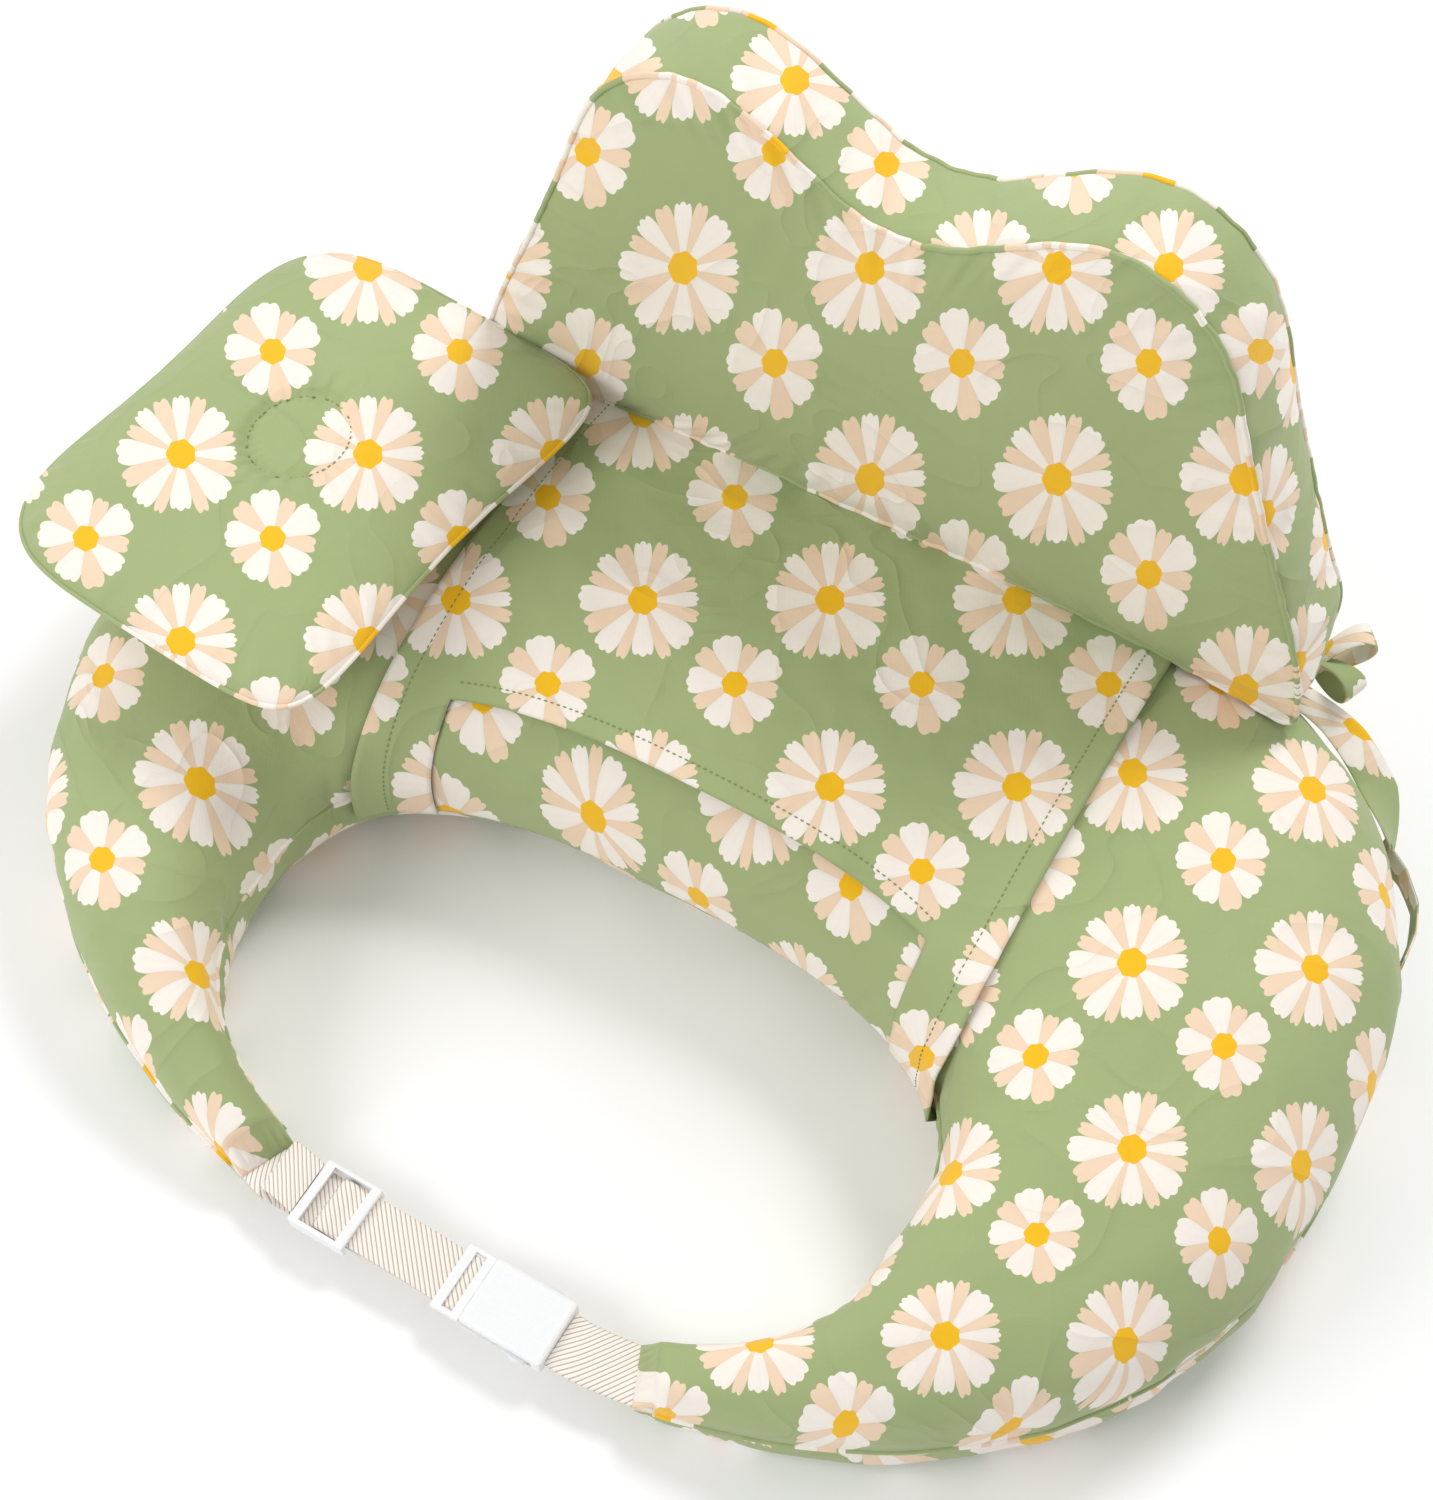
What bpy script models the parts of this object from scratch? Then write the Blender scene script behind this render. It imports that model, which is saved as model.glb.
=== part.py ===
"""Wearable nursing pillow: a U-shaped cushion with a lap panel, a standing fence, a head pillow and a belt.

Metres, +Z up.  The origin lies on the cushion's flat underside, below the middle of the lap platform.
+X points to the right of the person who wears it, and +Y points away from that person.
"""

import math

import bmesh
import bpy
from mathutils import Matrix, Vector
from mathutils.bvhtree import BVHTree

# ---------------------------------------------------------------- driving dimensions (metres)
FIT_GAP = 0.0003             # clearance between pieces that touch
SEAM_GAP = 0.0010            # opening between the two halves of the cushion's cover, where the seam lies
FILLING_SLACK = 0.0010       # clearance between a cover's lining and its filling

# Cushion plan: two superellipses, the waist hole and the outer edge
HOLE_CENTRE_Y = -0.215
HOLE_HALF_WIDTH = 0.162
HOLE_HALF_DEPTH = 0.090
HOLE_POWER = 2.7
OUTER_CENTRE_Y = -0.100
OUTER_HALF_WIDTH = 0.304
OUTER_NEAR_DEPTH = 0.230
OUTER_FAR_DEPTH = 0.225
OUTER_POWER = 2.4
HOLE_SWEEP = math.radians(150.9)
OUTER_SWEEP = math.radians(163.6)

# Cushion section
CUSHION_HEIGHT = 0.128
TIP_HEIGHT = 0.036
SEAM_LEVEL = 0.46            # height of the seam as a share of the local height
SIDE_ROUNDING = 0.80
COVER_THICKNESS = 0.0020
UNDERSIDE_FLATTEN = 1.14
RING_STATIONS = 46
SECTION_STEPS = 9

# Lap panel and its pocket
PANEL_HALF_WIDTH = 0.148
PANEL_THICKNESS = 0.0014
PANEL_LOW_ANGLE = math.radians(-8.0)
POCKET_HALF_WIDTH = 0.118
POCKET_SLIT_ANGLE = math.radians(38.0)
POCKET_DEPTH_ANGLE = math.radians(100.0)
PANEL_COLUMNS = 20
PANEL_ROWS = 12

# Fence
FENCE_FRONT_Y = 0.045
FENCE_THICKNESS = 0.044
FENCE_TOP = CUSHION_HEIGHT + 0.220
FENCE_DIP = FENCE_TOP - 0.040
FOOT_X = 0.206
FOOT_MARGIN = 0.0024         # the foot's back corners keep inside the cushion's outer edge
LOBE_X = FOOT_X * 0.447
SHOULDER_X = FOOT_X * 0.680
SHOULDER_Z = FENCE_TOP - 0.046
FENCE_WAIST_X = FOOT_X * 0.825
FENCE_WAIST_Z = FENCE_TOP - 0.116
FOOT_RISE = 0.0024           # the padded foot stands this far above the cushion's crown
FENCE_TILT_AXIS_LIFT = 0.0010
FENCE_SLACK = 0.0030         # clearance between the fence's cover and its filling
STRIP_INSET = 0.012          # hook-and-loop strips below the foot
STRIP_WIDTH = 0.020
STRIP_HALF_LENGTH = FOOT_X * 0.534

# Head pillow
HEAD_WIDTH = 0.184
HEAD_LENGTH = 0.226
HEAD_THICKNESS = 0.034
HEAD_CENTRE = (-0.228, FENCE_FRONT_Y - 0.001 - HEAD_LENGTH / 2)
HEAD_TURN = math.radians(-5.0)
HEAD_POWER = 4.2
HEAD_SHARPER = 4.2            # the two corners towards the lap panel are less round
HEAD_WAIST = 0.006
HEAD_EDGE = 0.016            # how far the pillow's faces draw in beside the seam
HEAD_SEAM_GAP = 0.0003
PATCH_FROM_CENTRE = 0.024
PATCH_SIZE = 0.056
PATCH_THICKNESS = 0.0014
PATCH_LIFT = 0.0012          # a sewn patch bridges the small ridges of the cushion's skin

# Belt: 25 mm webbing, a side-release buckle and a slide adjuster
WEBBING_WIDTH = 0.025
WEBBING_THICKNESS = 0.0012
BELT_Y = OUTER_CENTRE_Y - OUTER_NEAR_DEPTH + 0.015
BELT_Z = 0.018
BUCKLE_X = 0.003
PLUG_LENGTH = 0.014
SOCKET_LENGTH = 0.040
BUCKLE_WIDTH = WEBBING_WIDTH + 0.006
BUCKLE_THICKNESS = 0.0100
BUCKLE_WALL = 0.0020
PRONG_LENGTH = 0.034
PRONG_THICKNESS = 0.0034
PRONG_LOBE = 0.0022
PRONG_LOBE_LENGTH = 0.011
PLUG_THICKNESS = 0.0030
PLUG_SLOT = 0.0052
TONGUE_HALF_WIDTH = 0.0025
PLUG_TRAVEL = PRONG_LENGTH + 0.002
ADJUSTER_X = BUCKLE_X - 0.058
ADJUSTER_LENGTH = 0.028
ADJUSTER_BAR = 0.0045
ADJUSTER_THICKNESS = 0.0022
WEBBING_PLAY = 0.0010        # room beside the webbing in a slot
TAIL_LENGTH = 0.018
ANCHOR_LENGTH = 0.0030
WEBBING_START_GAP = 0.0008   # the webbing's square end clears the slanted end piece
STRAP_TURN_ROOM = 0.0012     # the strap turns round the plug's bar in a slack loop

# Tie bands
TIE_WIDTH = 0.022
BOW_LENGTH = 0.026
BOW_HALF_OPENING = 0.0072
BOW_HALF_WIDTH = 0.0055
BOW_RISE = 0.0185            # height of the knot above the cushion
TIE_THICKNESS = 0.0022
TIE_STANDOFF = 0.0030        # air between a tie band and the cushion's side

# Zips
ZIP_TAPE_WIDTH = 0.022
ZIP_TAPE_THICKNESS = 0.0009
ZIP_TEETH_WIDTH = 0.0042
ZIP_TEETH_THICKNESS = 0.0010
ZIP_SLIDER_LENGTH = 0.009
ZIP_SLIDER_WIDTH = 0.0078
ZIP_SLIDER_THICKNESS = 0.0016
ZIP_PULL_LENGTH = 0.018
ZIP_PULL_WIDTH = 0.0050
ZIP_PULL_THICKNESS = 0.0010
ZIP_TEETH_MARGIN = 0.004     # the tape runs on beyond the teeth
ZIP_START = 0.006            # the closed slider's distance from the tape's end
ZIP_RECESS_MARGIN = 0.0012
BASE_ZIP_LENGTH = 0.260
BASE_ZIP_Y = 0.050
FENCE_ZIP_LENGTH = 0.250
FENCE_ZIP_Z = CUSHION_HEIGHT + 0.044

CUT_OVER = 0.001             # cutters run past the faces they open
CUT_FAR = 0.010


# ---------------------------------------------------------------- materials and mesh helpers
def material(name, colour, roughness, metallic=0.0):
    made = bpy.data.materials.new(name)
    made.use_nodes = True
    shader = made.node_tree.nodes["Principled BSDF"]
    shader.inputs["Base Color"].default_value = (*colour, 1.0)
    shader.inputs["Roughness"].default_value = roughness
    shader.inputs["Metallic"].default_value = metallic
    made.diffuse_color = (*colour, 1.0)
    return made


def add_object(name, mesh_bm, finish, origin=(0.0, 0.0, 0.0)):
    """Turns a bmesh in world coordinates into an object whose origin is given."""
    bmesh.ops.remove_doubles(mesh_bm, verts=mesh_bm.verts, dist=1e-6)
    bmesh.ops.recalc_face_normals(mesh_bm, faces=mesh_bm.faces)
    bmesh.ops.translate(mesh_bm, verts=mesh_bm.verts, vec=-Vector(origin))
    mesh = bpy.data.meshes.new(name)
    mesh_bm.to_mesh(mesh)
    mesh_bm.free()
    mesh.shade_smooth()
    mesh.set_sharp_from_angle(angle=math.radians(40))
    mesh.materials.append(finish)
    made = bpy.data.objects.new(name, mesh)
    made.location = origin
    bpy.context.collection.objects.link(made)
    return made


def box_bm(low, high, bevel=0.0):
    """A box between two corners, with bevelled edges if asked."""
    bm = bmesh.new()
    size = Vector(high) - Vector(low)
    middle = (Vector(high) + Vector(low)) / 2
    bmesh.ops.create_cube(bm, size=1.0, matrix=Matrix.Translation(middle) @ Matrix.Diagonal((*size, 1.0)))
    if bevel:
        bmesh.ops.bevel(bm, geom=bm.edges[:], offset=bevel, segments=2, affect="EDGES", profile=0.5)
    return bm


def loft_bm(loops):
    """Joins closed loops of equal length one after another and caps both ends."""
    bm = bmesh.new()
    rows = [[bm.verts.new(point) for point in loop] for loop in loops]
    count = len(rows[0])
    for row, following in zip(rows, rows[1:]):
        for i in range(count):
            j = (i + 1) % count
            bm.faces.new((row[i], row[j], following[j], following[i]))
    bm.faces.new(rows[0])
    bm.faces.new(rows[-1])
    return bm


def slab_bm(near, far, keep=None):
    """A sheet with thickness: two equal grids of points, and only the cells for which keep is true."""
    bm = bmesh.new()
    rows = len(near)
    columns = len(near[0])
    cells = [(r, c) for r in range(rows - 1) for c in range(columns - 1) if keep is None or keep(r, c)]
    corners = {}

    def corner(side, r, c):
        key = (side, r, c)
        if key not in corners:
            corners[key] = bm.verts.new((near, far)[side][r][c])
        return corners[key]

    walls = {}
    for r, c in cells:
        ring = [(r, c), (r, c + 1), (r + 1, c + 1), (r + 1, c)]
        bm.faces.new([corner(0, *key) for key in ring])
        bm.faces.new([corner(1, *key) for key in reversed(ring)])
        for a, b in zip(ring, ring[1:] + ring[:1]):
            if (b, a) in walls:
                del walls[(b, a)]
            else:
                walls[(a, b)] = True
    for a, b in walls:
        bm.faces.new((corner(0, *b), corner(0, *a), corner(1, *a), corner(1, *b)))
    return bm


def cut(target, name, cutter_bm):
    """Takes a cutter's shape out of an object with a live Boolean."""
    plain = material(name + "_guide", (0.5, 0.5, 0.5), 0.5)
    cutter = add_object(name, cutter_bm, plain)
    cutter.hide_render = True
    cutter.display_type = "WIRE"
    modifier = target.modifiers.new(name, "BOOLEAN")
    modifier.operation = "DIFFERENCE"
    modifier.solver = "EXACT"
    modifier.object = cutter


def height_at(tree, x, y, missing=0.0):
    hit = tree.ray_cast(Vector((x, y, 1.0)), Vector((0.0, 0.0, -1.0)))
    return missing if hit[0] is None else hit[0].z


def side_at(tree, point, direction, missing):
    """The outermost surface point met when looking back from outside along a direction."""
    outside = Vector(point) + Vector(direction) * 0.5
    hit = tree.ray_cast(outside, -Vector(direction))
    return Vector(missing) if hit[0] is None else hit[0]


def smooth_curve(points, steps):
    """A Catmull-Rom curve through the points, with a number of steps between neighbours."""
    knots = [Vector(p) for p in points]
    padded = [2 * knots[0] - knots[1]] + knots + [2 * knots[-1] - knots[-2]]
    result = []
    for p0, p1, p2, p3 in zip(padded, padded[1:], padded[2:], padded[3:]):
        for k in range(steps):
            t = k / steps
            bend = 2 * p0 - 5 * p1 + 4 * p2 - p3
            result.append(0.5 * (2 * p1 + (p2 - p0) * t + bend * t**2 + (3 * (p1 - p2) + p3 - p0) * t**3))
    result.append(knots[-1])
    return result


def band_bm(path, across, thickness):
    """A flat band along a path; across gives its half-width vector at each point."""
    loops = []
    for index, point in enumerate(path):
        ahead = path[min(index + 1, len(path) - 1)] - path[max(index - 1, 0)]
        side = across[index]
        up = side.cross(ahead).normalized() * (thickness / 2)
        loops.append([point - side - up, point + side - up, point + side + up, point - side + up])
    return loft_bm(loops)


# ---------------------------------------------------------------- the cushion's surface as a formula
def signed_power(value, power):
    return math.copysign(abs(value) ** power, value)


def hole_edge(s, inset):
    angle = math.pi / 2 - HOLE_SWEEP * s
    x = (HOLE_HALF_WIDTH + inset) * signed_power(math.cos(angle), 2 / HOLE_POWER)
    y = HOLE_CENTRE_Y + (HOLE_HALF_DEPTH + inset) * signed_power(math.sin(angle), 2 / HOLE_POWER)
    return x, y


def outer_edge(s, inset):
    angle = math.pi / 2 - OUTER_SWEEP * s
    depth = OUTER_FAR_DEPTH if math.sin(angle) > 0 else OUTER_NEAR_DEPTH
    x = (OUTER_HALF_WIDTH - inset) * signed_power(math.cos(angle), 2 / OUTER_POWER)
    y = OUTER_CENTRE_Y + (depth - inset) * signed_power(math.sin(angle), 2 / OUTER_POWER)
    return x, y


def outer_reach(y):
    """The half-width of the cushion's outer edge at this y, beyond its middle."""
    depth_share = (y - OUTER_CENTRE_Y) / OUTER_FAR_DEPTH
    return OUTER_HALF_WIDTH * (1 - depth_share**OUTER_POWER) ** (1 / OUTER_POWER)


def cushion_height(s):
    return TIP_HEIGHT + (CUSHION_HEIGHT - TIP_HEIGHT) * (1 - abs(s) ** 3)


def cushion_point(s, angle, inset=0.0, seam_shift=0.0):
    """A point of the skin: s runs from -1 at the left tip to 1 at the right, angle from 0 at the hole."""
    inner = Vector(hole_edge(s, inset))
    outer = Vector(outer_edge(s, inset))
    share = 0.5 - 0.5 * signed_power(math.cos(angle), SIDE_ROUNDING)
    plan = inner.lerp(outer, share)
    seam = cushion_height(s) * SEAM_LEVEL + seam_shift
    rise = abs(math.sin(angle)) ** SIDE_ROUNDING
    if math.sin(angle) >= 0:
        z = seam + (cushion_height(s) - inset - seam) * rise
    else:
        z = max(inset, seam - (seam - inset) * UNDERSIDE_FLATTEN * rise)
    return Vector((plan.x, plan.y, z))


def stations(last=1.0):
    """Evenly spaced stations; the end ones stop short where last is under 1."""
    even = [2 * i / RING_STATIONS - 1 for i in range(RING_STATIONS + 1)]
    return [max(-last, min(last, s)) for s in even]


def cover_loops(first, last, seam_shift):
    """C-shaped sections of one cover half: out along the outer skin and back along the inner one."""
    angles = [first + (last - first) * k / SECTION_STEPS for k in range(SECTION_STEPS + 1)]
    loops = []
    for s in stations():
        skin = [cushion_point(s, angle, 0.0, seam_shift) for angle in angles]
        lining = [cushion_point(s, angle, COVER_THICKNESS, seam_shift) for angle in reversed(angles)]
        loops.append(skin + lining)
    return loops


def filling_loops():
    inset = COVER_THICKNESS + FILLING_SLACK
    steps = 2 * SECTION_STEPS
    end = 0.985
    return [[cushion_point(s, 2 * math.pi * k / steps, inset) for k in range(steps)] for s in stations(end)]


def skin_tree():
    """A search tree over the whole outer skin, with no gap at the seam."""
    steps = 2 * SECTION_STEPS
    loops = [[cushion_point(s, 2 * math.pi * k / steps) for k in range(steps)] for s in stations()]
    return BVHTree.FromBMesh(loft_bm(loops))


# ---------------------------------------------------------------- sub-parts
def make_cushion(print_cotton, plain_fibre):
    """The upper and lower halves of the cover, and the filling inside them."""
    upper = cover_loops(0.0, math.pi, SEAM_GAP / 2)
    lower = cover_loops(math.pi, 2 * math.pi, -SEAM_GAP / 2)
    add_object("base_top_cover", loft_bm(upper), print_cotton)
    bottom = add_object("base_bottom_cover", loft_bm(lower), print_cotton)
    filling = add_object("base_filling", loft_bm(filling_loops()), plain_fibre)
    return bottom, filling


def panel_station(x, angle):
    """The station at which the cushion's surface has this x at this section angle."""
    low, high = -0.6, 0.6
    for _ in range(40):
        middle = (low + high) / 2
        if cushion_point(middle, angle).x < x:
            low = middle
        else:
            high = middle
    return (low + high) / 2


def foot_angle(x, y):
    """The section angle at which the cushion's top reaches this y, at this x."""
    low, high = math.radians(60.0), math.radians(178.0)
    for _ in range(40):
        middle = (low + high) / 2
        if cushion_point(panel_station(x, middle), middle).y < y:
            low = middle
        else:
            high = middle
    return (low + high) / 2


def lifted(s, angle, lift):
    """A point of the cushion's skin moved out along its normal."""
    step = 0.002
    along = cushion_point(s + step, angle) - cushion_point(s - step, angle)
    around = cushion_point(s, angle + step) - cushion_point(s, angle - step)
    normal = around.cross(along).normalized()
    point = cushion_point(s, angle)
    outward = Vector((0.0, math.cos(angle) * -1.0, abs(math.sin(angle)) + 0.1))
    return point + normal * (lift if normal.dot(outward) > 0 else -lift)


def panel_grid(half_width, first_angle, last_angle_at, lift):
    """Rows run from the hole towards the fence, columns from left to right."""
    rows = []
    for r in range(PANEL_ROWS + 1):
        row = []
        for c in range(PANEL_COLUMNS + 1):
            x = half_width * (2 * c / PANEL_COLUMNS - 1)
            angle = first_angle + (last_angle_at(x) - first_angle) * r / PANEL_ROWS
            row.append(lifted(panel_station(x, angle), angle, lift))
        rows.append(row)
    return rows


def make_lap_panel(print_cotton):
    layer = FIT_GAP * 2
    lining_low = layer
    lining_high = lining_low + PANEL_THICKNESS
    panel_low = lining_high + layer
    panel_high = panel_low + PANEL_THICKNESS

    def lining_end(_x):
        return POCKET_DEPTH_ANGLE

    grids = [
        panel_grid(POCKET_HALF_WIDTH - layer, PANEL_LOW_ANGLE, lining_end, lift)
        for lift in (lining_low, lining_high)
    ]
    add_object("pocket_lining", slab_bm(*grids), print_cotton)

    stop_y = FENCE_FRONT_Y - 2 * layer
    ends = {}

    def panel_end(x):
        key = round(x, 6)
        if key not in ends:
            ends[key] = foot_angle(x, stop_y)
        return ends[key]

    lifts = (panel_low, panel_high)
    grids = [panel_grid(PANEL_HALF_WIDTH, PANEL_LOW_ANGLE, panel_end, lift) for lift in lifts]
    slit_share = (POCKET_SLIT_ANGLE - PANEL_LOW_ANGLE) / (panel_end(0.0) - PANEL_LOW_ANGLE)
    slit_row = max(1, round(slit_share * PANEL_ROWS))
    pitch = 2 * PANEL_HALF_WIDTH / PANEL_COLUMNS
    side_columns = max(1, round((PANEL_HALF_WIDTH - POCKET_HALF_WIDTH) / pitch))

    def keep(r, c):
        return r >= slit_row or c < side_columns or c >= PANEL_COLUMNS - side_columns

    add_object("lap_panel", slab_bm(*grids, keep), print_cotton)
    return panel_high


def fence_outline(foot_x, foot_z):
    """Right half of the cloud outline, from the dip on the centre line out and down to the foot."""
    points = [
        (0.0, 0.0, FENCE_DIP),
        (LOBE_X * 0.45, 0.0, FENCE_DIP + (FENCE_TOP - FENCE_DIP) * 0.46),
        (LOBE_X, 0.0, FENCE_TOP),
        (SHOULDER_X * 0.93, 0.0, SHOULDER_Z + (FENCE_TOP - SHOULDER_Z) * 0.55),
        (SHOULDER_X, 0.0, SHOULDER_Z),
        (FENCE_WAIST_X, 0.0, FENCE_WAIST_Z),
        (foot_x, 0.0, foot_z),
    ]
    half = smooth_curve(points, 4)
    left = [Vector((-p.x, 0.0, p.z)) for p in reversed(half[1:])]
    return left + half


def fence_loop(y, foot_x, floor_of, shrink):
    """The outline at depth y in two lists: the cloud's curve, then the foot back from right to left."""
    cloud = fence_outline(foot_x, floor_of(foot_x, y))
    inner = []
    count = len(cloud)
    for index, point in enumerate(cloud):
        ahead = cloud[min(index + 1, count - 1)] - cloud[max(index - 1, 0)]
        normal = Vector((ahead.z, 0.0, -ahead.x)).normalized()
        inner.append(Vector((point.x, y, point.z)) + Vector((normal.x, 0.0, normal.z)) * shrink)
    inner[0].z = floor_of(inner[0].x, y) + shrink
    inner[-1].z = floor_of(inner[-1].x, y) + shrink
    foot = []
    steps = 14
    for k in range(1, steps):
        x = inner[-1].x + (inner[0].x - inner[-1].x) * k / steps
        foot.append(Vector((x, y, floor_of(x, y) + shrink)))
    return inner, foot


def make_fence(tree, panel_top, print_cotton, plain_fibre, zip_tape, zip_plastic, loop_pile):
    front = FENCE_FRONT_Y
    back = front + FENCE_THICKNESS
    skin = COVER_THICKNESS
    rest = panel_top + FIT_GAP * 4 + FOOT_RISE
    floors = {}

    def floor_of(x, y):
        """The foot follows the cushion's crown between front and back, above the patches it stands on."""
        key = (round(x, 5), round(y, 5))
        if key not in floors:
            heights = [height_at(tree, x, y + dy) for dy in (-0.004, 0.0, 0.004)]
            floors[key] = max(heights) + rest
        return floors[key]

    back_x = min(FOOT_X, outer_reach(back) - FOOT_MARGIN)

    def width_at(y):
        return FOOT_X + (back_x - FOOT_X) * (y - front) / FENCE_THICKNESS

    def outline(y, shrink):
        return fence_loop(y, width_at(y), floor_of, shrink)

    def whole(y, shrink):
        cloud, foot = outline(y, shrink)
        return cloud + foot

    hinge = (0.0, back, floor_of(0.0, back) - FENCE_TILT_AXIS_LIFT)
    front_loops = [whole(front, 0.0), whole(front + skin, 0.0)]
    back_loops = [whole(back - skin, 0.0), whole(back, 0.0)]
    add_object("fence_front_panel", loft_bm(front_loops), print_cotton, hinge)
    add_object("fence_back_panel", loft_bm(back_loops), print_cotton, hinge)

    near = front + skin + FIT_GAP
    far = back - skin - FIT_GAP
    depths = [near + (far - near) * k / 2 for k in range(3)]
    gusset_rows = []
    foot_rows = []
    for y in depths:
        outer_cloud, outer_foot = outline(y, 0.0)
        inner_cloud, inner_foot = outline(y, skin)
        gusset_rows.append(outer_cloud[1:-1] + inner_cloud[-2:0:-1])
        foot_rows.append(outer_foot + inner_foot[::-1])
    add_object("fence_gusset", loft_bm(gusset_rows), print_cotton, hinge)
    add_object("fence_foot_panel", loft_bm(foot_rows), print_cotton, hinge)
    core = [whole(y, skin + FENCE_SLACK) for y in depths]
    add_object("fence_filling", loft_bm(core), plain_fibre, hinge)

    # Hook-and-loop pair under the foot: one strip is sewn to the fence and one to the cushion
    def crown_of(x, y):
        return height_at(tree, x, y)

    hook_top = -PATCH_LIFT - FOOT_RISE / 2
    strips = (
        ("fence_hook_strip", floor_of, (hook_top, hook_top - PATCH_THICKNESS), hinge),
        ("base_loop_strip", crown_of, (PATCH_LIFT, PATCH_LIFT + PATCH_THICKNESS), (0.0, 0.0, 0.0)),
    )
    ys = [front + STRIP_INSET + STRIP_WIDTH * r / 2 for r in range(3)]
    xs = [STRIP_HALF_LENGTH * (c / 6 - 1) for c in range(13)]
    for name, ground, lifts, origin in strips:
        sheets = [[[Vector((x, y, ground(x, y) + lift)) for x in xs] for y in ys] for lift in lifts]
        add_object(name, slab_bm(*sheets), loop_pile, origin)

    # Zip on the fence's back
    wall = back + FIT_GAP
    half = FENCE_ZIP_LENGTH / 2
    z = FENCE_ZIP_Z
    low = (-half, wall, z - ZIP_TAPE_WIDTH / 2)
    high = (half, wall + ZIP_TAPE_THICKNESS, z + ZIP_TAPE_WIDTH / 2)
    add_object("fence_zip_tape", box_bm(low, high), zip_tape, hinge)
    wall += ZIP_TAPE_THICKNESS + FIT_GAP
    low = (-half + ZIP_TEETH_MARGIN, wall, z - ZIP_TEETH_WIDTH / 2)
    high = (half - ZIP_TEETH_MARGIN, wall + ZIP_TEETH_THICKNESS, z + ZIP_TEETH_WIDTH / 2)
    add_object("fence_zip_teeth", box_bm(low, high), zip_plastic, hinge)
    wall += ZIP_TEETH_THICKNESS + FIT_GAP
    start = -half + ZIP_START
    low = (start, wall, z - ZIP_SLIDER_WIDTH / 2)
    high = (start + ZIP_SLIDER_LENGTH, wall + ZIP_SLIDER_THICKNESS, z + ZIP_SLIDER_WIDTH / 2)
    slider_origin = (start + ZIP_SLIDER_LENGTH / 2, wall, z)
    add_object("fence_zip_slider", box_bm(low, high, 0.0004), zip_plastic, slider_origin)
    pivot = (slider_origin[0], wall + ZIP_SLIDER_THICKNESS + FIT_GAP + ZIP_PULL_THICKNESS / 2, z)
    low = (pivot[0] - ZIP_PULL_WIDTH / 2, pivot[1] - ZIP_PULL_THICKNESS / 2, z - ZIP_PULL_LENGTH)
    high = (pivot[0] + ZIP_PULL_WIDTH / 2, pivot[1] + ZIP_PULL_THICKNESS / 2, z + ZIP_PULL_THICKNESS / 2)
    add_object("fence_zip_pull", box_bm(low, high, 0.0003), zip_plastic, pivot)
    return hinge, width_at, floor_of


def make_base_zip(bottom, filling, zip_tape, zip_plastic):
    """A zip let into the underside, so that the cushion still lies flat."""
    half = BASE_ZIP_LENGTH / 2
    y = BASE_ZIP_Y
    margin = ZIP_RECESS_MARGIN
    roof = ZIP_SLIDER_THICKNESS + ZIP_TEETH_THICKNESS + ZIP_TAPE_THICKNESS + FIT_GAP * 4 + margin
    low = (-half - margin, y - ZIP_TAPE_WIDTH / 2 - margin, -CUT_OVER)
    high = (half + margin, y + ZIP_TAPE_WIDTH / 2 + margin, roof)
    cut(bottom, "zip_recess_in_cover", box_bm(low, high))
    cut(filling, "zip_recess_in_filling", box_bm(low, high))
    level = roof - margin / 2
    low = (-half, y - ZIP_TAPE_WIDTH / 2, level - ZIP_TAPE_THICKNESS)
    high = (half, y + ZIP_TAPE_WIDTH / 2, level)
    add_object("base_zip_tape", box_bm(low, high), zip_tape)
    level -= ZIP_TAPE_THICKNESS + FIT_GAP
    low = (-half + ZIP_TEETH_MARGIN, y - ZIP_TEETH_WIDTH / 2, level - ZIP_TEETH_THICKNESS)
    high = (half - ZIP_TEETH_MARGIN, y + ZIP_TEETH_WIDTH / 2, level)
    add_object("base_zip_teeth", box_bm(low, high), zip_plastic)
    level -= ZIP_TEETH_THICKNESS + FIT_GAP
    start = -half + ZIP_START
    low = (start, y - ZIP_SLIDER_WIDTH / 2, level - ZIP_SLIDER_THICKNESS)
    high = (start + ZIP_SLIDER_LENGTH, y + ZIP_SLIDER_WIDTH / 2, level)
    add_object("base_zip_slider", box_bm(low, high, 0.0004), zip_plastic, (start, y, level))
    pivot = (start + ZIP_SLIDER_LENGTH + FIT_GAP, y, level - ZIP_SLIDER_THICKNESS / 2)
    low = (pivot[0], y - ZIP_PULL_WIDTH / 2, pivot[2] - ZIP_PULL_THICKNESS / 2)
    high = (pivot[0] + ZIP_PULL_LENGTH, y + ZIP_PULL_WIDTH / 2, pivot[2] + ZIP_PULL_THICKNESS / 2)
    add_object("base_zip_pull", box_bm(low, high, 0.0003), zip_plastic, pivot)


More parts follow.
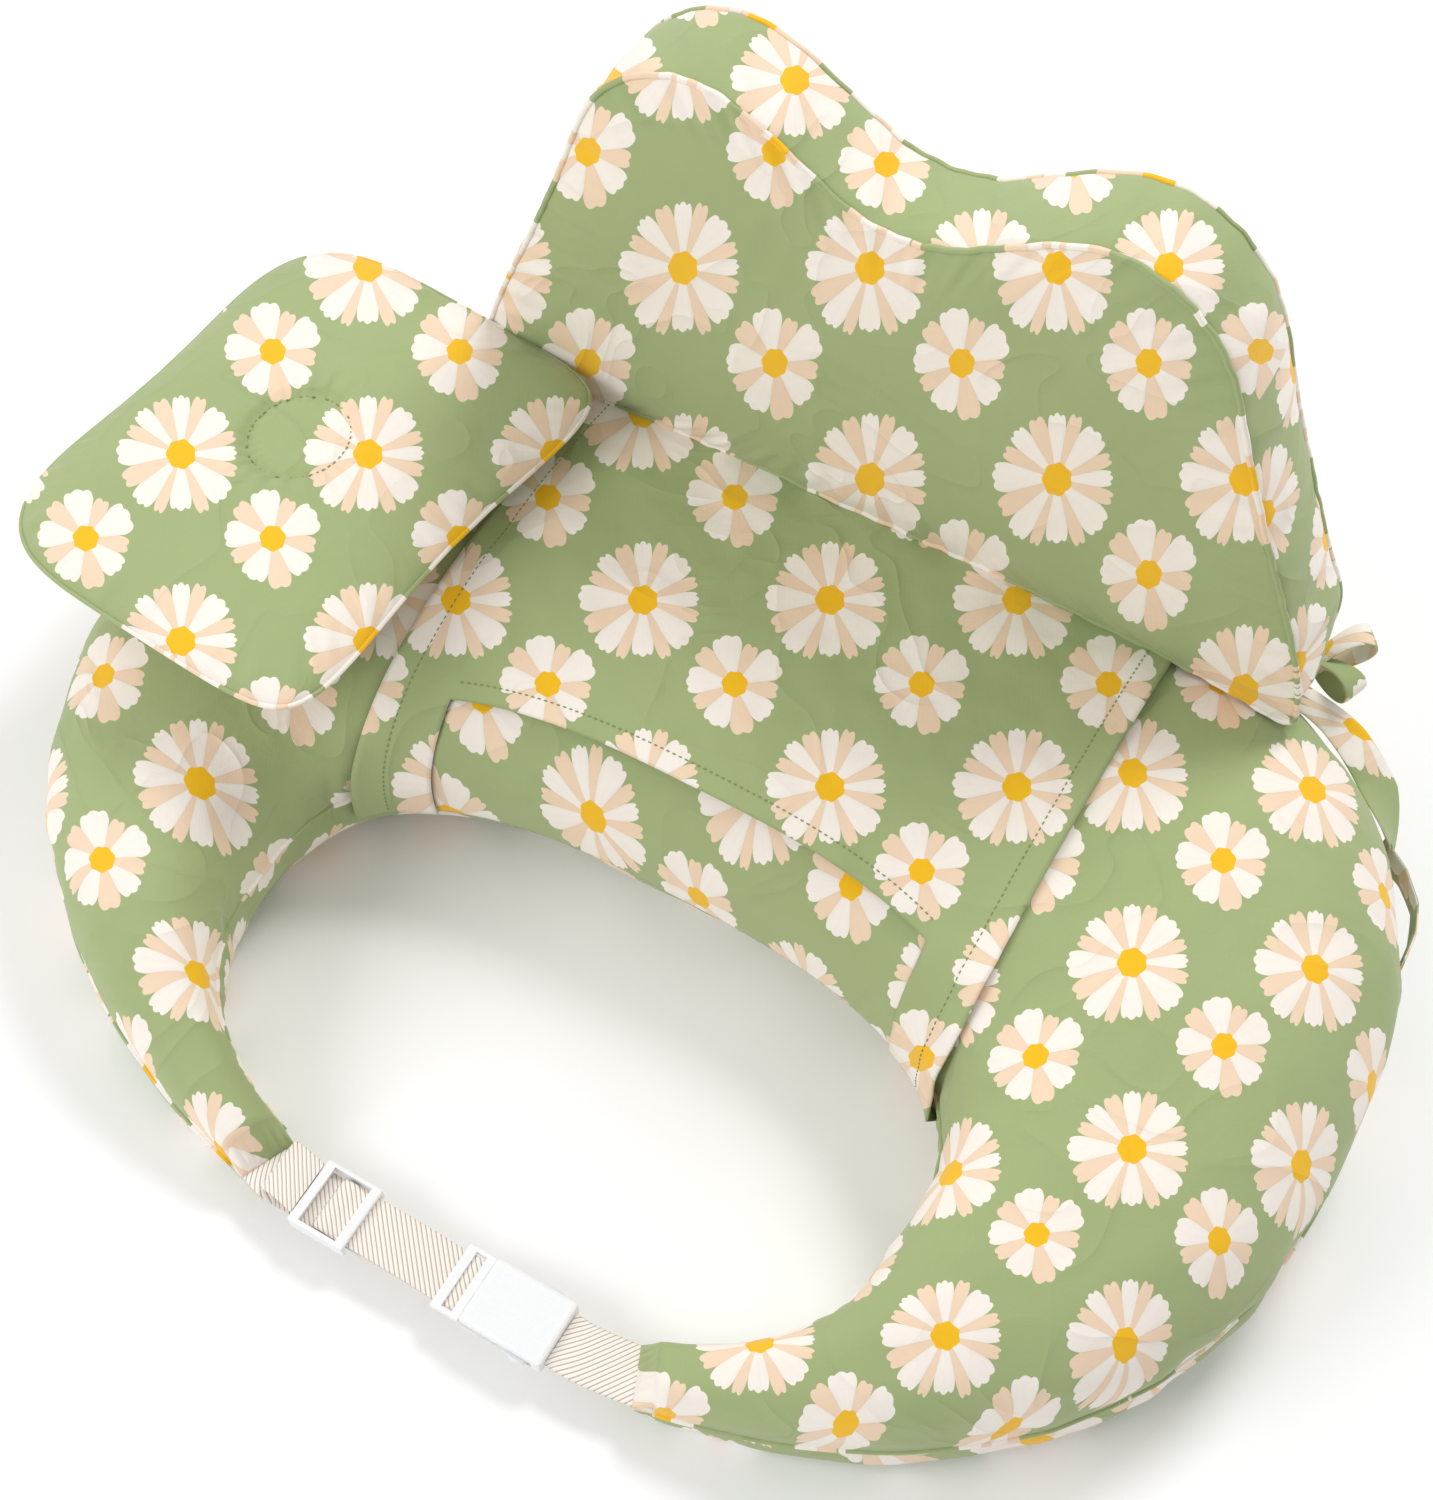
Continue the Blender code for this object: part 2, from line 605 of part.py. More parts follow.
def head_section(level, inset, rise, centre, count=40):
    """Rounded-rectangle loop of the head pillow at a share of its thickness, drawn in where it is thin."""
    reach = max(0.0, 1 - abs(level) ** 2.2) ** 0.5
    loop = []
    for k in range(count):
        angle = 2 * math.pi * k / count
        towards_panel = max(0.0, math.cos(angle)) * abs(math.sin(angle))
        power = 2 / (HEAD_POWER + HEAD_SHARPER * towards_panel**0.5)
        drawn_in = inset + HEAD_EDGE * (1 - reach)
        x = (HEAD_WIDTH / 2 - drawn_in) * signed_power(math.cos(angle), power)
        y = (HEAD_LENGTH / 2 - drawn_in) * signed_power(math.sin(angle), power)
        x -= HEAD_WAIST * math.copysign(1.0, x) * math.cos(math.pi * y / HEAD_LENGTH) ** 2 * (abs(x) > 1e-9)
        flat = Matrix.Rotation(HEAD_TURN, 2) @ Vector((x, y))
        loop.append(Vector((centre[0] + flat.x, centre[1] + flat.y, centre[2] + rise)))
    return loop


def make_head_pillow(tree, panel_top, print_cotton, plain_fibre, loop_pile):
    footprint = head_section(0.0, 0.0, 0.0, (*HEAD_CENTRE, 0.0))
    middle = Vector((*HEAD_CENTRE, 0.0))
    samples = [middle.lerp(point, share) for point in footprint for share in (0.0, 0.35, 0.7, 1.0)]
    ground = max(height_at(tree, p.x, p.y) for p in samples)
    floor = ground + max(panel_top, PATCH_LIFT + PATCH_THICKNESS * 2) + FIT_GAP * 4
    half = HEAD_THICKNESS / 2
    centre = (*HEAD_CENTRE, floor + half)
    levels = (0.0, 0.45, 0.8, 1.0)
    skin = COVER_THICKNESS
    seam = HEAD_SEAM_GAP / 2
    origin = (*HEAD_CENTRE, floor)
    for name, side in (("head_pillow_top", 1), ("head_pillow_bottom", -1)):
        outside = [head_section(v, 0.0, side * (seam + v * (half - seam)), centre) for v in levels]
        inside = [head_section(v, skin, side * (seam + v * (half - skin - seam)), centre) for v in levels]
        add_object(name, loft_bm(outside[::-1] + inside), print_cotton, origin)
    inset = skin + FILLING_SLACK
    fill_levels = [-v for v in reversed(levels[1:])] + list(levels)
    fill = [head_section(v, inset, v * (half - inset), centre) for v in fill_levels]
    add_object("head_pillow_filling", loft_bm(fill), plain_fibre, origin)

    # Hook-and-loop pair between the pillow and the cushion
    x0 = HEAD_CENTRE[0] + PATCH_FROM_CENTRE
    y0 = HEAD_CENTRE[1]
    reach = PATCH_SIZE / 2
    low = (x0 - reach, y0 - reach, floor - FIT_GAP - PATCH_THICKNESS)
    hook = box_bm(low, (x0 + reach, y0 + reach, floor - FIT_GAP))
    add_object("head_pillow_hook_patch", hook, loop_pile, origin)
    sheets = []
    for lift in (PATCH_LIFT, PATCH_LIFT + PATCH_THICKNESS):
        sheet = []
        for r in range(5):
            y = y0 + reach * (r / 2 - 1)
            xs = [x0 + reach * (c / 2 - 1) for c in range(5)]
            sheet.append([Vector((x, y, height_at(tree, x, y) + lift)) for x in xs])
        sheets.append(sheet)
    add_object("base_loop_patch", slab_bm(*sheets), loop_pile)


def make_bow_loop(name, corner, side, lean, finish, origin):
    """A flat tie laid in a closed loop that stands out from the knot."""
    steps = 12
    direction = Vector((side * math.cos(lean), math.sin(lean), 0.45)).normalized()
    around = direction.cross(Vector((0.0, 0.0, 1.0))).normalized()
    up = direction.cross(around).normalized() * BOW_HALF_WIDTH
    root = corner + Vector((side * 0.0035, 0.0, math.copysign(0.0066, lean)))
    centres = []
    for k in range(steps):
        turn = 2 * math.pi * k / steps
        reach = BOW_LENGTH / 2 * (1 - math.cos(turn))
        centres.append(root + direction * reach + around * BOW_HALF_OPENING * math.sin(turn))
    bm = bmesh.new()
    rows = []
    for k in range(steps):
        centre = centres[k]
        following = centres[(k + 1) % steps] - centres[k - 1]
        outward = following.cross(up).normalized() * (TIE_THICKNESS / 2)
        ring = (centre - outward - up, centre + outward - up, centre + outward + up, centre - outward + up)
        rows.append([bm.verts.new(point) for point in ring])
    for k in range(steps):
        row = rows[k]
        following = rows[(k + 1) % steps]
        for i in range(4):
            j = (i + 1) % 4
            bm.faces.new((row[i], row[j], following[j], following[i]))
    add_object(name, bm, finish, origin)


def make_side_band(tree, name, side, points, finish):
    """A band laid along the cushion's side; each point holds x, y and its share of the cushion's height."""
    path = []
    across = []
    for x, y, share in smooth_curve(points, 4):
        z = share * CUSHION_HEIGHT
        angle = math.atan2(y - OUTER_CENTRE_Y, x)
        outward = Vector((side * math.cos(angle), math.sin(angle), 0.0))
        spots = [
            side_at(tree, (0.0, OUTER_CENTRE_Y, z + rise), outward, (side * x, y, z + rise))
            for rise in (-TIE_WIDTH / 2, 0.0, TIE_WIDTH / 2)
        ]
        middle = (spots[0] + spots[2]) / 2
        bulge = max(0.0, (spots[1] - middle).dot(outward))
        path.append(middle + outward * (bulge + TIE_THICKNESS / 2 + TIE_STANDOFF))
        across.append((spots[2] - spots[0]) / 2)
    add_object(name, band_bm(path, across, TIE_THICKNESS), finish)


def make_ties(tree, fence_hinge, width_at, floor_of, print_cotton):
    """On each side: a bow on the fence's corner, a band down the cushion's side and a loop sewn there."""
    back = FENCE_FRONT_Y + FENCE_THICKNESS
    band_points = ((0.222, 0.072, 0.70), (0.234, 0.062, 0.65), (0.246, 0.048, 0.59), (0.256, 0.034, 0.55))
    loop_points = ((0.264, 0.022, 0.52), (0.271, 0.010, 0.49), (0.277, -0.004, 0.47), (0.282, -0.018, 0.45))
    for name, side in (("right", 1), ("left", -1)):
        corner_x = width_at(back) + 0.004
        corner = Vector((side * corner_x, back + 0.004, floor_of(corner_x, back) + BOW_RISE))
        make_bow_loop(f"{name}_tie_bow_front", corner, side, -0.35, print_cotton, fence_hinge)
        make_bow_loop(f"{name}_tie_bow_back", corner, side, 0.75, print_cotton, fence_hinge)
        make_side_band(tree, f"{name}_tie_band", side, band_points, print_cotton)
        make_side_band(tree, f"{name}_tie_loop", side, loop_points, print_cotton)


def arm_tip(name, side, finish):
    """The sewn end piece that closes an arm; returns where the webbing leaves it, and which way."""
    inner = Vector(hole_edge(side, 0.0))
    outer = Vector(outer_edge(side, 0.0))
    along = (outer - inner).normalized()
    out = Vector((along.y * side, -along.x * side, 0.0))
    steps = 2 * SECTION_STEPS
    section = [cushion_point(side, 2 * math.pi * k / steps) for k in range(steps)]
    middle = Vector(((inner.x + outer.x) / 2, (inner.y + outer.y) / 2, BELT_Z))
    lining = [cushion_point(side, 2 * math.pi * k / steps, COVER_THICKNESS) for k in range(steps)]
    ahead = max((point - middle).dot(out) for point in section + lining)
    loops = []
    for shift, scale in ((FIT_GAP * 2, 0.97), (ANCHOR_LENGTH * 0.6, 0.95), (ANCHOR_LENGTH, 0.86)):
        loops.append([middle + (p - middle) * scale + out * (ahead + shift) for p in section])
    add_object(f"{name}_belt_anchor", loft_bm(loops), finish)
    return middle + out * (ahead + ANCHOR_LENGTH + WEBBING_START_GAP), out


def arm_webbing(name, tip, out, level, thickness, turn_x, stop_x, finish):
    """Flat webbing that leaves an arm's tip square and then runs level along the belt line."""
    start = Vector((tip.x, tip.y, level))
    turn = Vector((turn_x, BELT_Y, level))
    stop = Vector((stop_x, BELT_Y, level))
    path = smooth_curve([start, start + out * 0.010, turn, stop], 5)
    widths = []
    for k in range(len(path)):
        ahead = (path[min(k + 1, len(path) - 1)] - path[max(k - 1, 0)]).normalized()
        widths.append(Vector((-ahead.y, ahead.x, 0.0)) * WEBBING_WIDTH / 2)
    add_object(name, band_bm(path, widths, thickness), finish)


def make_plug_strap(high_layer, finish):
    """The moving strap: from above the adjuster to the plug, then round its bar."""
    reach = ADJUSTER_BAR / 2 + STRAP_TURN_ROOM + WEBBING_THICKNESS / 2
    tall = (PLUG_THICKNESS + WEBBING_THICKNESS) / 2 + STRAP_TURN_ROOM
    start_x = ADJUSTER_X + ADJUSTER_LENGTH / 2 - 0.016
    bar_middle = BUCKLE_X + ADJUSTER_BAR / 2
    route = [
        Vector((start_x, BELT_Y, high_layer)),
        Vector((BUCKLE_X - 0.0035, BELT_Y, high_layer)),
        Vector((BUCKLE_X - 0.0010, BELT_Y, BELT_Z + tall)),
    ]
    for k in range(9):
        angle = math.pi / 2 - math.pi * k / 8
        route.append(Vector((bar_middle + reach * math.cos(angle), BELT_Y, BELT_Z + tall * math.sin(angle))))
    route.append(Vector((BUCKLE_X - 0.0010, BELT_Y, BELT_Z - tall)))
    widths = [Vector((0.0, WEBBING_WIDTH / 2, 0.0))] * len(route)
    add_object("plug_strap", band_bm(route, widths, WEBBING_THICKNESS), finish)


def make_plug(finish):
    """A ladder frame with the strap's bar, and a guide tongue joined to it."""
    half_width = BUCKLE_WIDTH / 2
    end_x = BUCKLE_X + PLUG_LENGTH
    rail = WEBBING_WIDTH / 2 + WEBBING_PLAY
    low = (BUCKLE_X, BELT_Y - half_width, BELT_Z - PLUG_THICKNESS / 2)
    high = (end_x, BELT_Y + half_width, BELT_Z + PLUG_THICKNESS / 2)
    plug = add_object("buckle_plug", box_bm(low, high, 0.0006), finish, (end_x + FIT_GAP, BELT_Y, BELT_Z))
    slot_x = BUCKLE_X + ADJUSTER_BAR
    low = (slot_x, BELT_Y - rail, BELT_Z - CUT_FAR)
    high = (slot_x + PLUG_SLOT, BELT_Y + rail, BELT_Z + CUT_FAR)
    cut(plug, "plug_slot", box_bm(low, high))
    low = (end_x - CUT_OVER, BELT_Y - TONGUE_HALF_WIDTH, BELT_Z - PRONG_THICKNESS / 2)
    high = (end_x + PRONG_LENGTH * 0.62, BELT_Y + TONGUE_HALF_WIDTH, BELT_Z + PRONG_THICKNESS / 2)
    tongue = add_object("plug_tongue_guide", box_bm(low, high, 0.0005), finish)
    tongue.hide_render = True
    tongue.display_type = "WIRE"
    union = plug.modifiers.new("tongue", "BOOLEAN")
    union.operation = "UNION"
    union.solver = "EXACT"
    union.object = tongue


def make_prong(name, side, finish):
    """A spring prong, hinged at the plug's shoulder, whose rounded lobe shows at the socket's side."""
    half_width = BUCKLE_WIDTH / 2
    root = BUCKLE_X + PLUG_LENGTH + FIT_GAP
    tip = root + PRONG_LENGTH
    beam_out = half_width - BUCKLE_WALL - FIT_GAP * 2
    beam_in = beam_out - PRONG_THICKNESS
    lobe_start = tip - PRONG_LOBE_LENGTH
    bulge = half_width + PRONG_LOBE - beam_out
    outline = [(root, beam_in), (tip - 0.003, beam_in - 0.0012), (tip, beam_in + 0.0008), (tip, beam_out)]
    for k in range(1, 8):
        angle = math.pi * k / 8
        x = (tip + lobe_start) / 2 + PRONG_LOBE_LENGTH / 2 * math.cos(angle)
        outline.append((x, beam_out + bulge * math.sin(angle)))
    outline += [(lobe_start, beam_out), (root, beam_out)]
    loops = []
    for z in (BELT_Z - PRONG_THICKNESS / 2, BELT_Z + PRONG_THICKNESS / 2):
        loops.append([Vector((x, BELT_Y + side * y, z)) for x, y in outline])
    pivot = (root, BELT_Y + side * (beam_in + beam_out) / 2, BELT_Z)
    add_object(f"buckle_prong_{name}", loft_bm(loops), finish, pivot)


def make_socket(finish):
    """A flat housing, open at the mouth and along both sides; returns the x of its closed end."""
    half_width = BUCKLE_WIDTH / 2
    half_thick = BUCKLE_THICKNESS / 2
    mouth = BUCKLE_X + PLUG_LENGTH + FIT_GAP
    end = mouth + SOCKET_LENGTH
    low = (mouth, BELT_Y - half_width, BELT_Z - half_thick)
    high = (end, BELT_Y + half_width, BELT_Z + half_thick)
    socket = add_object("buckle_socket", box_bm(low, high, 0.0016), finish)
    cavity = half_width - BUCKLE_WALL
    depth = PRONG_LENGTH + 0.0016
    room = PRONG_THICKNESS / 2 + 0.0005
    low = (mouth - CUT_OVER, BELT_Y - cavity, BELT_Z - room)
    high = (mouth + depth, BELT_Y + cavity, BELT_Z + room)
    cut(socket, "socket_cavity", box_bm(low, high))
    for name, side in (("near", -1), ("far", 1)):
        edges = sorted((BELT_Y + side * (cavity - CUT_OVER), BELT_Y + side * (half_width + CUT_FAR)))
        low = (mouth - CUT_OVER, edges[0], BELT_Z - room)
        high = (mouth + depth, edges[1], BELT_Z + room)
        cut(socket, f"socket_side_{name}", box_bm(low, high))
    return end


def make_adjuster(low_layer, high_layer, finish):
    """End bars above the straps and a middle bar below them; returns where the strap's tail starts."""
    half_width = BUCKLE_WIDTH / 2
    left = ADJUSTER_X - ADJUSTER_LENGTH / 2
    right = ADJUSTER_X + ADJUSTER_LENGTH / 2
    over = high_layer + WEBBING_THICKNESS / 2 + FIT_GAP * 2
    under = low_layer - WEBBING_THICKNESS / 2 - FIT_GAP * 2
    rail = WEBBING_WIDTH / 2 + WEBBING_PLAY
    low = (left, BELT_Y - half_width, under - ADJUSTER_THICKNESS)
    high = (right, BELT_Y + half_width, over + ADJUSTER_THICKNESS)
    adjuster = add_object("strap_adjuster", box_bm(low, high, 0.0008), finish, (ADJUSTER_X, BELT_Y, BELT_Z))
    bar_left = ADJUSTER_X - ADJUSTER_BAR / 2
    bar_right = ADJUSTER_X + ADJUSTER_BAR / 2
    cutters = (
        ("strap_passage", left - CUT_OVER, right + CUT_OVER, under, over),
        ("window_above", left + ADJUSTER_BAR, right - ADJUSTER_BAR, over - CUT_OVER, over + CUT_FAR),
        ("window_below_left", left - CUT_OVER, bar_left, under - CUT_FAR, under + CUT_OVER),
        ("window_below_right", bar_right, right + CUT_OVER, under - CUT_FAR, under + CUT_OVER),
    )
    for name, x0, x1, z0, z1 in cutters:
        cut(adjuster, name, box_bm((x0, BELT_Y - rail, z0), (x1, BELT_Y + rail, z1)))
    return left - FIT_GAP, over + ADJUSTER_THICKNESS / 2


def make_strap_tail(start_x, level, finish):
    """The moving strap's tail, sewn off behind the adjuster and a little wavy."""
    route = []
    for k in range(5):
        share = k / 4
        wave = 0.0016 * math.sin(2.8 * share)
        route.append(Vector((start_x - TAIL_LENGTH * share, BELT_Y + 0.0020 * share, level + wave)))
    widths = [Vector((0.0, WEBBING_WIDTH / 2, 0.0))] * len(route)
    add_object("strap_tail", band_bm(route, widths, WEBBING_THICKNESS), finish, (ADJUSTER_X, BELT_Y, BELT_Z))


def make_belt(webbing, white_plastic):
    """The belt closes the arms: sewn webbing on each side, an adjuster and a side-release buckle."""
    low_layer = BELT_Z - FIT_GAP / 2 - WEBBING_THICKNESS / 2
    high_layer = BELT_Z + FIT_GAP / 2 + WEBBING_THICKNESS / 2
    tip, out = arm_tip("left", -1.0, webbing)
    turn_x = ADJUSTER_X - ADJUSTER_LENGTH / 2 - 0.009
    stop_x = BUCKLE_X - PLUG_TRAVEL - 0.002
    arm_webbing("left_belt_webbing", tip, out, low_layer, WEBBING_THICKNESS, turn_x, stop_x, webbing)
    make_plug_strap(high_layer, webbing)
    make_plug(white_plastic)
    make_prong("near", -1, white_plastic)
    make_prong("far", 1, white_plastic)
    bar_x = make_socket(white_plastic) + FIT_GAP
    tip, out = arm_tip("right", 1.0, webbing)
    doubled = WEBBING_THICKNESS * 2
    arm_webbing("right_belt_webbing", tip, out, BELT_Z, doubled, bar_x + 0.012, bar_x, webbing)
    tail_x, tail_level = make_adjuster(low_layer, high_layer, white_plastic)
    make_strap_tail(tail_x, tail_level, webbing)


# ---------------------------------------------------------------- build
def build():
    for item in list(bpy.data.objects):
        bpy.data.objects.remove(item, do_unlink=True)

    print_cotton = material("print_cotton", (0.330, 0.410, 0.200), 0.85)
    plain_fibre = material("polyester_fibre", (0.900, 0.900, 0.880), 0.95)
    webbing = material("cream_webbing", (0.860, 0.780, 0.690), 0.80)
    white_plastic = material("white_acetal", (0.880, 0.880, 0.880), 0.35)
    loop_pile = material("hook_and_loop", (0.780, 0.780, 0.740), 0.90)
    zip_tape = material("zip_tape", (0.420, 0.520, 0.290), 0.85)
    zip_plastic = material("zip_coil", (0.450, 0.550, 0.320), 0.45)

    bottom, filling = make_cushion(print_cotton, plain_fibre)
    tree = skin_tree()
    panel_top = make_lap_panel(print_cotton)
    hinge, width_at, floor_of = make_fence(
        tree, panel_top, print_cotton, plain_fibre, zip_tape, zip_plastic, loop_pile
    )
    make_base_zip(bottom, filling, zip_tape, zip_plastic)
    make_head_pillow(tree, panel_top, print_cotton, plain_fibre, loop_pile)
    make_ties(tree, hinge, width_at, floor_of, print_cotton)
    make_belt(webbing, white_plastic)


build()
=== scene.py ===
import math

import bmesh
import bpy
import numpy as np
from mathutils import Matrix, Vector


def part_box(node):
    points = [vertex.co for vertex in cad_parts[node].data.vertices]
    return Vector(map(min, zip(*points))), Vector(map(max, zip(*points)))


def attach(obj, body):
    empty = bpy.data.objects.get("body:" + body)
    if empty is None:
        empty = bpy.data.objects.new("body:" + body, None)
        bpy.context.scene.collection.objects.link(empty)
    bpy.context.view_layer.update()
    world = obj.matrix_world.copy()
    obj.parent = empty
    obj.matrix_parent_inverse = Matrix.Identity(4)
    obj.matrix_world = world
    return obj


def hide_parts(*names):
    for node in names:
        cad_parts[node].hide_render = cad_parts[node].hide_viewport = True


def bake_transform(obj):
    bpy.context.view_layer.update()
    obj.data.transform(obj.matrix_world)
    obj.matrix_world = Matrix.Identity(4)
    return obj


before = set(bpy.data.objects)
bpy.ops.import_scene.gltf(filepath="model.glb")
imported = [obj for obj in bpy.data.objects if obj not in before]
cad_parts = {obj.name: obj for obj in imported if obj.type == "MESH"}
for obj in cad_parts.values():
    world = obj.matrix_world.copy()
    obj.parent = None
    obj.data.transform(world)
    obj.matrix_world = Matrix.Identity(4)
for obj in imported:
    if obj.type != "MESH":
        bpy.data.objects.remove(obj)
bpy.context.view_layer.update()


# ---------------------------------------------------------------------------------------------
# Printed cotton.  Every cover is cut from one sage-green cloth with two daisies in each repeat:
# ragged petals, white and peach by turns, round a yellow heart.  The print is a UV map measured
# in repeats, so it runs with the cloth.
REPEAT = 0.085
VIEW_TURN = math.radians(30.5)
VIEW_RISE = math.radians(57.35)
VIEW_POINT = np.array([0.2742, -0.5570, 0.9630])
VIEW_REACH = 1.0725


def view_axes():
    """The level, the rising and the backward direction of a person looking down at the pillow."""
    level = np.array([math.cos(VIEW_TURN), math.sin(VIEW_TURN), 0.0])
    back = np.array([math.sin(VIEW_TURN) * math.cos(VIEW_RISE), -math.cos(VIEW_TURN) * math.cos(VIEW_RISE),
                     math.sin(VIEW_RISE)])
    return level, np.cross(back, level), back


def print_layout(points, start):
    """Where points fall on the cloth, in repeats: rows run level for someone who looks down at the pillow,
    so a point's place is its level and rising distance from the sight line, divided by its depth."""
    level, rising, back = view_axes()
    from_eye = points - VIEW_POINT
    depth = -(from_eye @ back)
    across = from_eye @ level / depth * VIEW_REACH
    up = from_eye @ rising / depth * VIEW_REACH
    return np.stack([(across - start[0]) / REPEAT, (up - start[1]) / REPEAT], axis=-1)


def calc(tree, kind, first, second=0.0, third=0.0):
    """One Math node; each input is a number or another node's output."""
    node = tree.nodes.new("ShaderNodeMath")
    node.operation = kind
    for socket, value in zip(node.inputs, (first, second, third)):
        if isinstance(value, (int, float)):
            socket.default_value = value
        else:
            tree.links.new(value, socket)
    return node.outputs[0]


def scatter(tree, first, second, salt):
    """A number from 0 to 1 that is the same all over one petal or one flower."""
    join = tree.nodes.new("ShaderNodeCombineXYZ")
    for socket, value in zip(join.inputs, (first, second, salt)):
        if isinstance(value, (int, float)):
            socket.default_value = value
        else:
            tree.links.new(value, socket)
    noise = tree.nodes.new("ShaderNodeTexWhiteNoise")
    noise.noise_dimensions = "3D"
    tree.links.new(join.outputs[0], noise.inputs["Vector"])
    return noise.outputs["Value"]


def mix(tree, share, first, second):
    """A colour between two others, by a share from 0 to 1."""
    node = tree.nodes.new("ShaderNodeMix")
    node.data_type = "RGBA"
    tree.links.new(share, node.inputs["Factor"])
    for socket, value in ((node.inputs[6], first), (node.inputs[7], second)):
        if isinstance(value, tuple):
            socket.default_value = (*value, 1.0)
        else:
            tree.links.new(value, socket)
    return node.outputs[2]


def flower(tree, across, up, shift, radius, heart, petals, salt, ground, tones):
    """One daisy in each repeat.  Petals come in pairs, a broad white one and a narrower peach one.  A point
    is inside if it is closer to the heart than its petal is long; a petal's tip is rounded off towards its
    sides and cut into small lobes."""
    white, peach, yellow = tones
    x = calc(tree, "SUBTRACT", across, shift[0])
    y = calc(tree, "SUBTRACT", up, shift[1])
    cell_x = calc(tree, "FLOOR", calc(tree, "ADD", x, 0.5))
    cell_y = calc(tree, "FLOOR", calc(tree, "ADD", y, 0.5))
    x = calc(tree, "MULTIPLY", calc(tree, "SUBTRACT", x, cell_x), REPEAT)
    y = calc(tree, "MULTIPLY", calc(tree, "SUBTRACT", y, cell_y), REPEAT)
    reach = calc(tree, "SQRT", calc(tree, "ADD", calc(tree, "MULTIPLY", x, x), calc(tree, "MULTIPLY", y, y)))
    turn = calc(tree, "ADD", calc(tree, "ARCTAN2", y, x), math.pi + 0.21 * salt)
    slow_turn = calc(tree, "MULTIPLY_ADD", turn, 3.0, salt * 1.7)
    wobble = calc(tree, "MULTIPLY", calc(tree, "SINE", slow_turn), 0.045)
    quick_turn = calc(tree, "MULTIPLY_ADD", turn, 5.0, salt * 0.9)
    sway = calc(tree, "MULTIPLY", calc(tree, "SINE", quick_turn), 0.030)
    turn = calc(tree, "ADD", turn, calc(tree, "ADD", wobble, sway))
    pairs = petals / 2
    count = calc(tree, "MODULO", calc(tree, "MULTIPLY", turn, pairs / (2 * math.pi)), pairs)
    pair = calc(tree, "FLOOR", count)
    place = calc(tree, "SUBTRACT", count, pair)
    split = calc(tree, "MULTIPLY_ADD", scatter(tree, pair, salt, 0.5), 0.18, 0.50)
    is_peach = calc(tree, "GREATER_THAN", place, split)
    in_white = calc(tree, "DIVIDE", place, split)
    in_peach = calc(tree, "DIVIDE", calc(tree, "SUBTRACT", place, split), calc(tree, "SUBTRACT", 1.0, split))
    share = calc(tree, "MULTIPLY_ADD", is_peach, calc(tree, "SUBTRACT", in_peach, in_white), in_white)
    edge = calc(tree, "ABSOLUTE", calc(tree, "MULTIPLY_ADD", share, 2.0, -1.0))
    chance = scatter(tree, calc(tree, "MULTIPLY_ADD", is_peach, 0.37, pair), salt, 0.8)
    length = calc(tree, "MULTIPLY_ADD", chance, 0.18, 0.81)
    shoulder = calc(tree, "MULTIPLY", calc(tree, "POWER", edge, 4.0), 0.17)
    lobes = calc(tree, "MULTIPLY", calc(tree, "SUBTRACT", 3.0, is_peach), math.pi)
    lobe = calc(tree, "ABSOLUTE", calc(tree, "SINE", calc(tree, "MULTIPLY", lobes, share)))
    length = calc(tree, "ADD", calc(tree, "SUBTRACT", length, shoulder), calc(tree, "MULTIPLY", lobe, 0.050))
    inside = calc(tree, "LESS_THAN", reach, calc(tree, "MULTIPLY", length, radius))
    tone = mix(tree, is_peach, white, peach)
    rib = calc(tree, "ABSOLUTE", calc(tree, "SINE", calc(tree, "MULTIPLY", share, 9.4)))
    shade = calc(tree, "MULTIPLY", calc(tree, "POWER", edge, 10.0), 0.28)
    tone = mix(tree, calc(tree, "MULTIPLY_ADD", rib, 0.03, shade), tone, tuple(0.70 * c for c in peach))
    painted = mix(tree, inside, ground, tone)
    waves = calc(tree, "SINE", calc(tree, "MULTIPLY", turn, 7.0))
    rim = calc(tree, "MULTIPLY_ADD", waves, heart * 0.05, heart)
    middle = calc(tree, "LESS_THAN", reach, rim)
    return mix(tree, middle, painted, yellow)


def woven(tree, coordinate, threads, depth, share):
    """Two crossed sets of fine threads as a bump height."""
    heights = []
    for axis in ("X", "Y"):
        wave = tree.nodes.new("ShaderNodeTexWave")
        wave.wave_type = "BANDS"
        wave.bands_direction = axis
        wave.inputs["Scale"].default_value = threads
        wave.inputs["Distortion"].default_value = 0.6
        wave.inputs["Detail"].default_value = 1.0
        tree.links.new(coordinate, wave.inputs["Vector"])
        heights.append(wave.outputs["Fac"])
    both = calc(tree, "MULTIPLY", calc(tree, "ADD", *heights), 0.5)
    bump = tree.nodes.new("ShaderNodeBump")
    bump.inputs["Strength"].default_value = share
    bump.inputs["Distance"].default_value = depth
    tree.links.new(both, bump.inputs["Height"])
    return bump


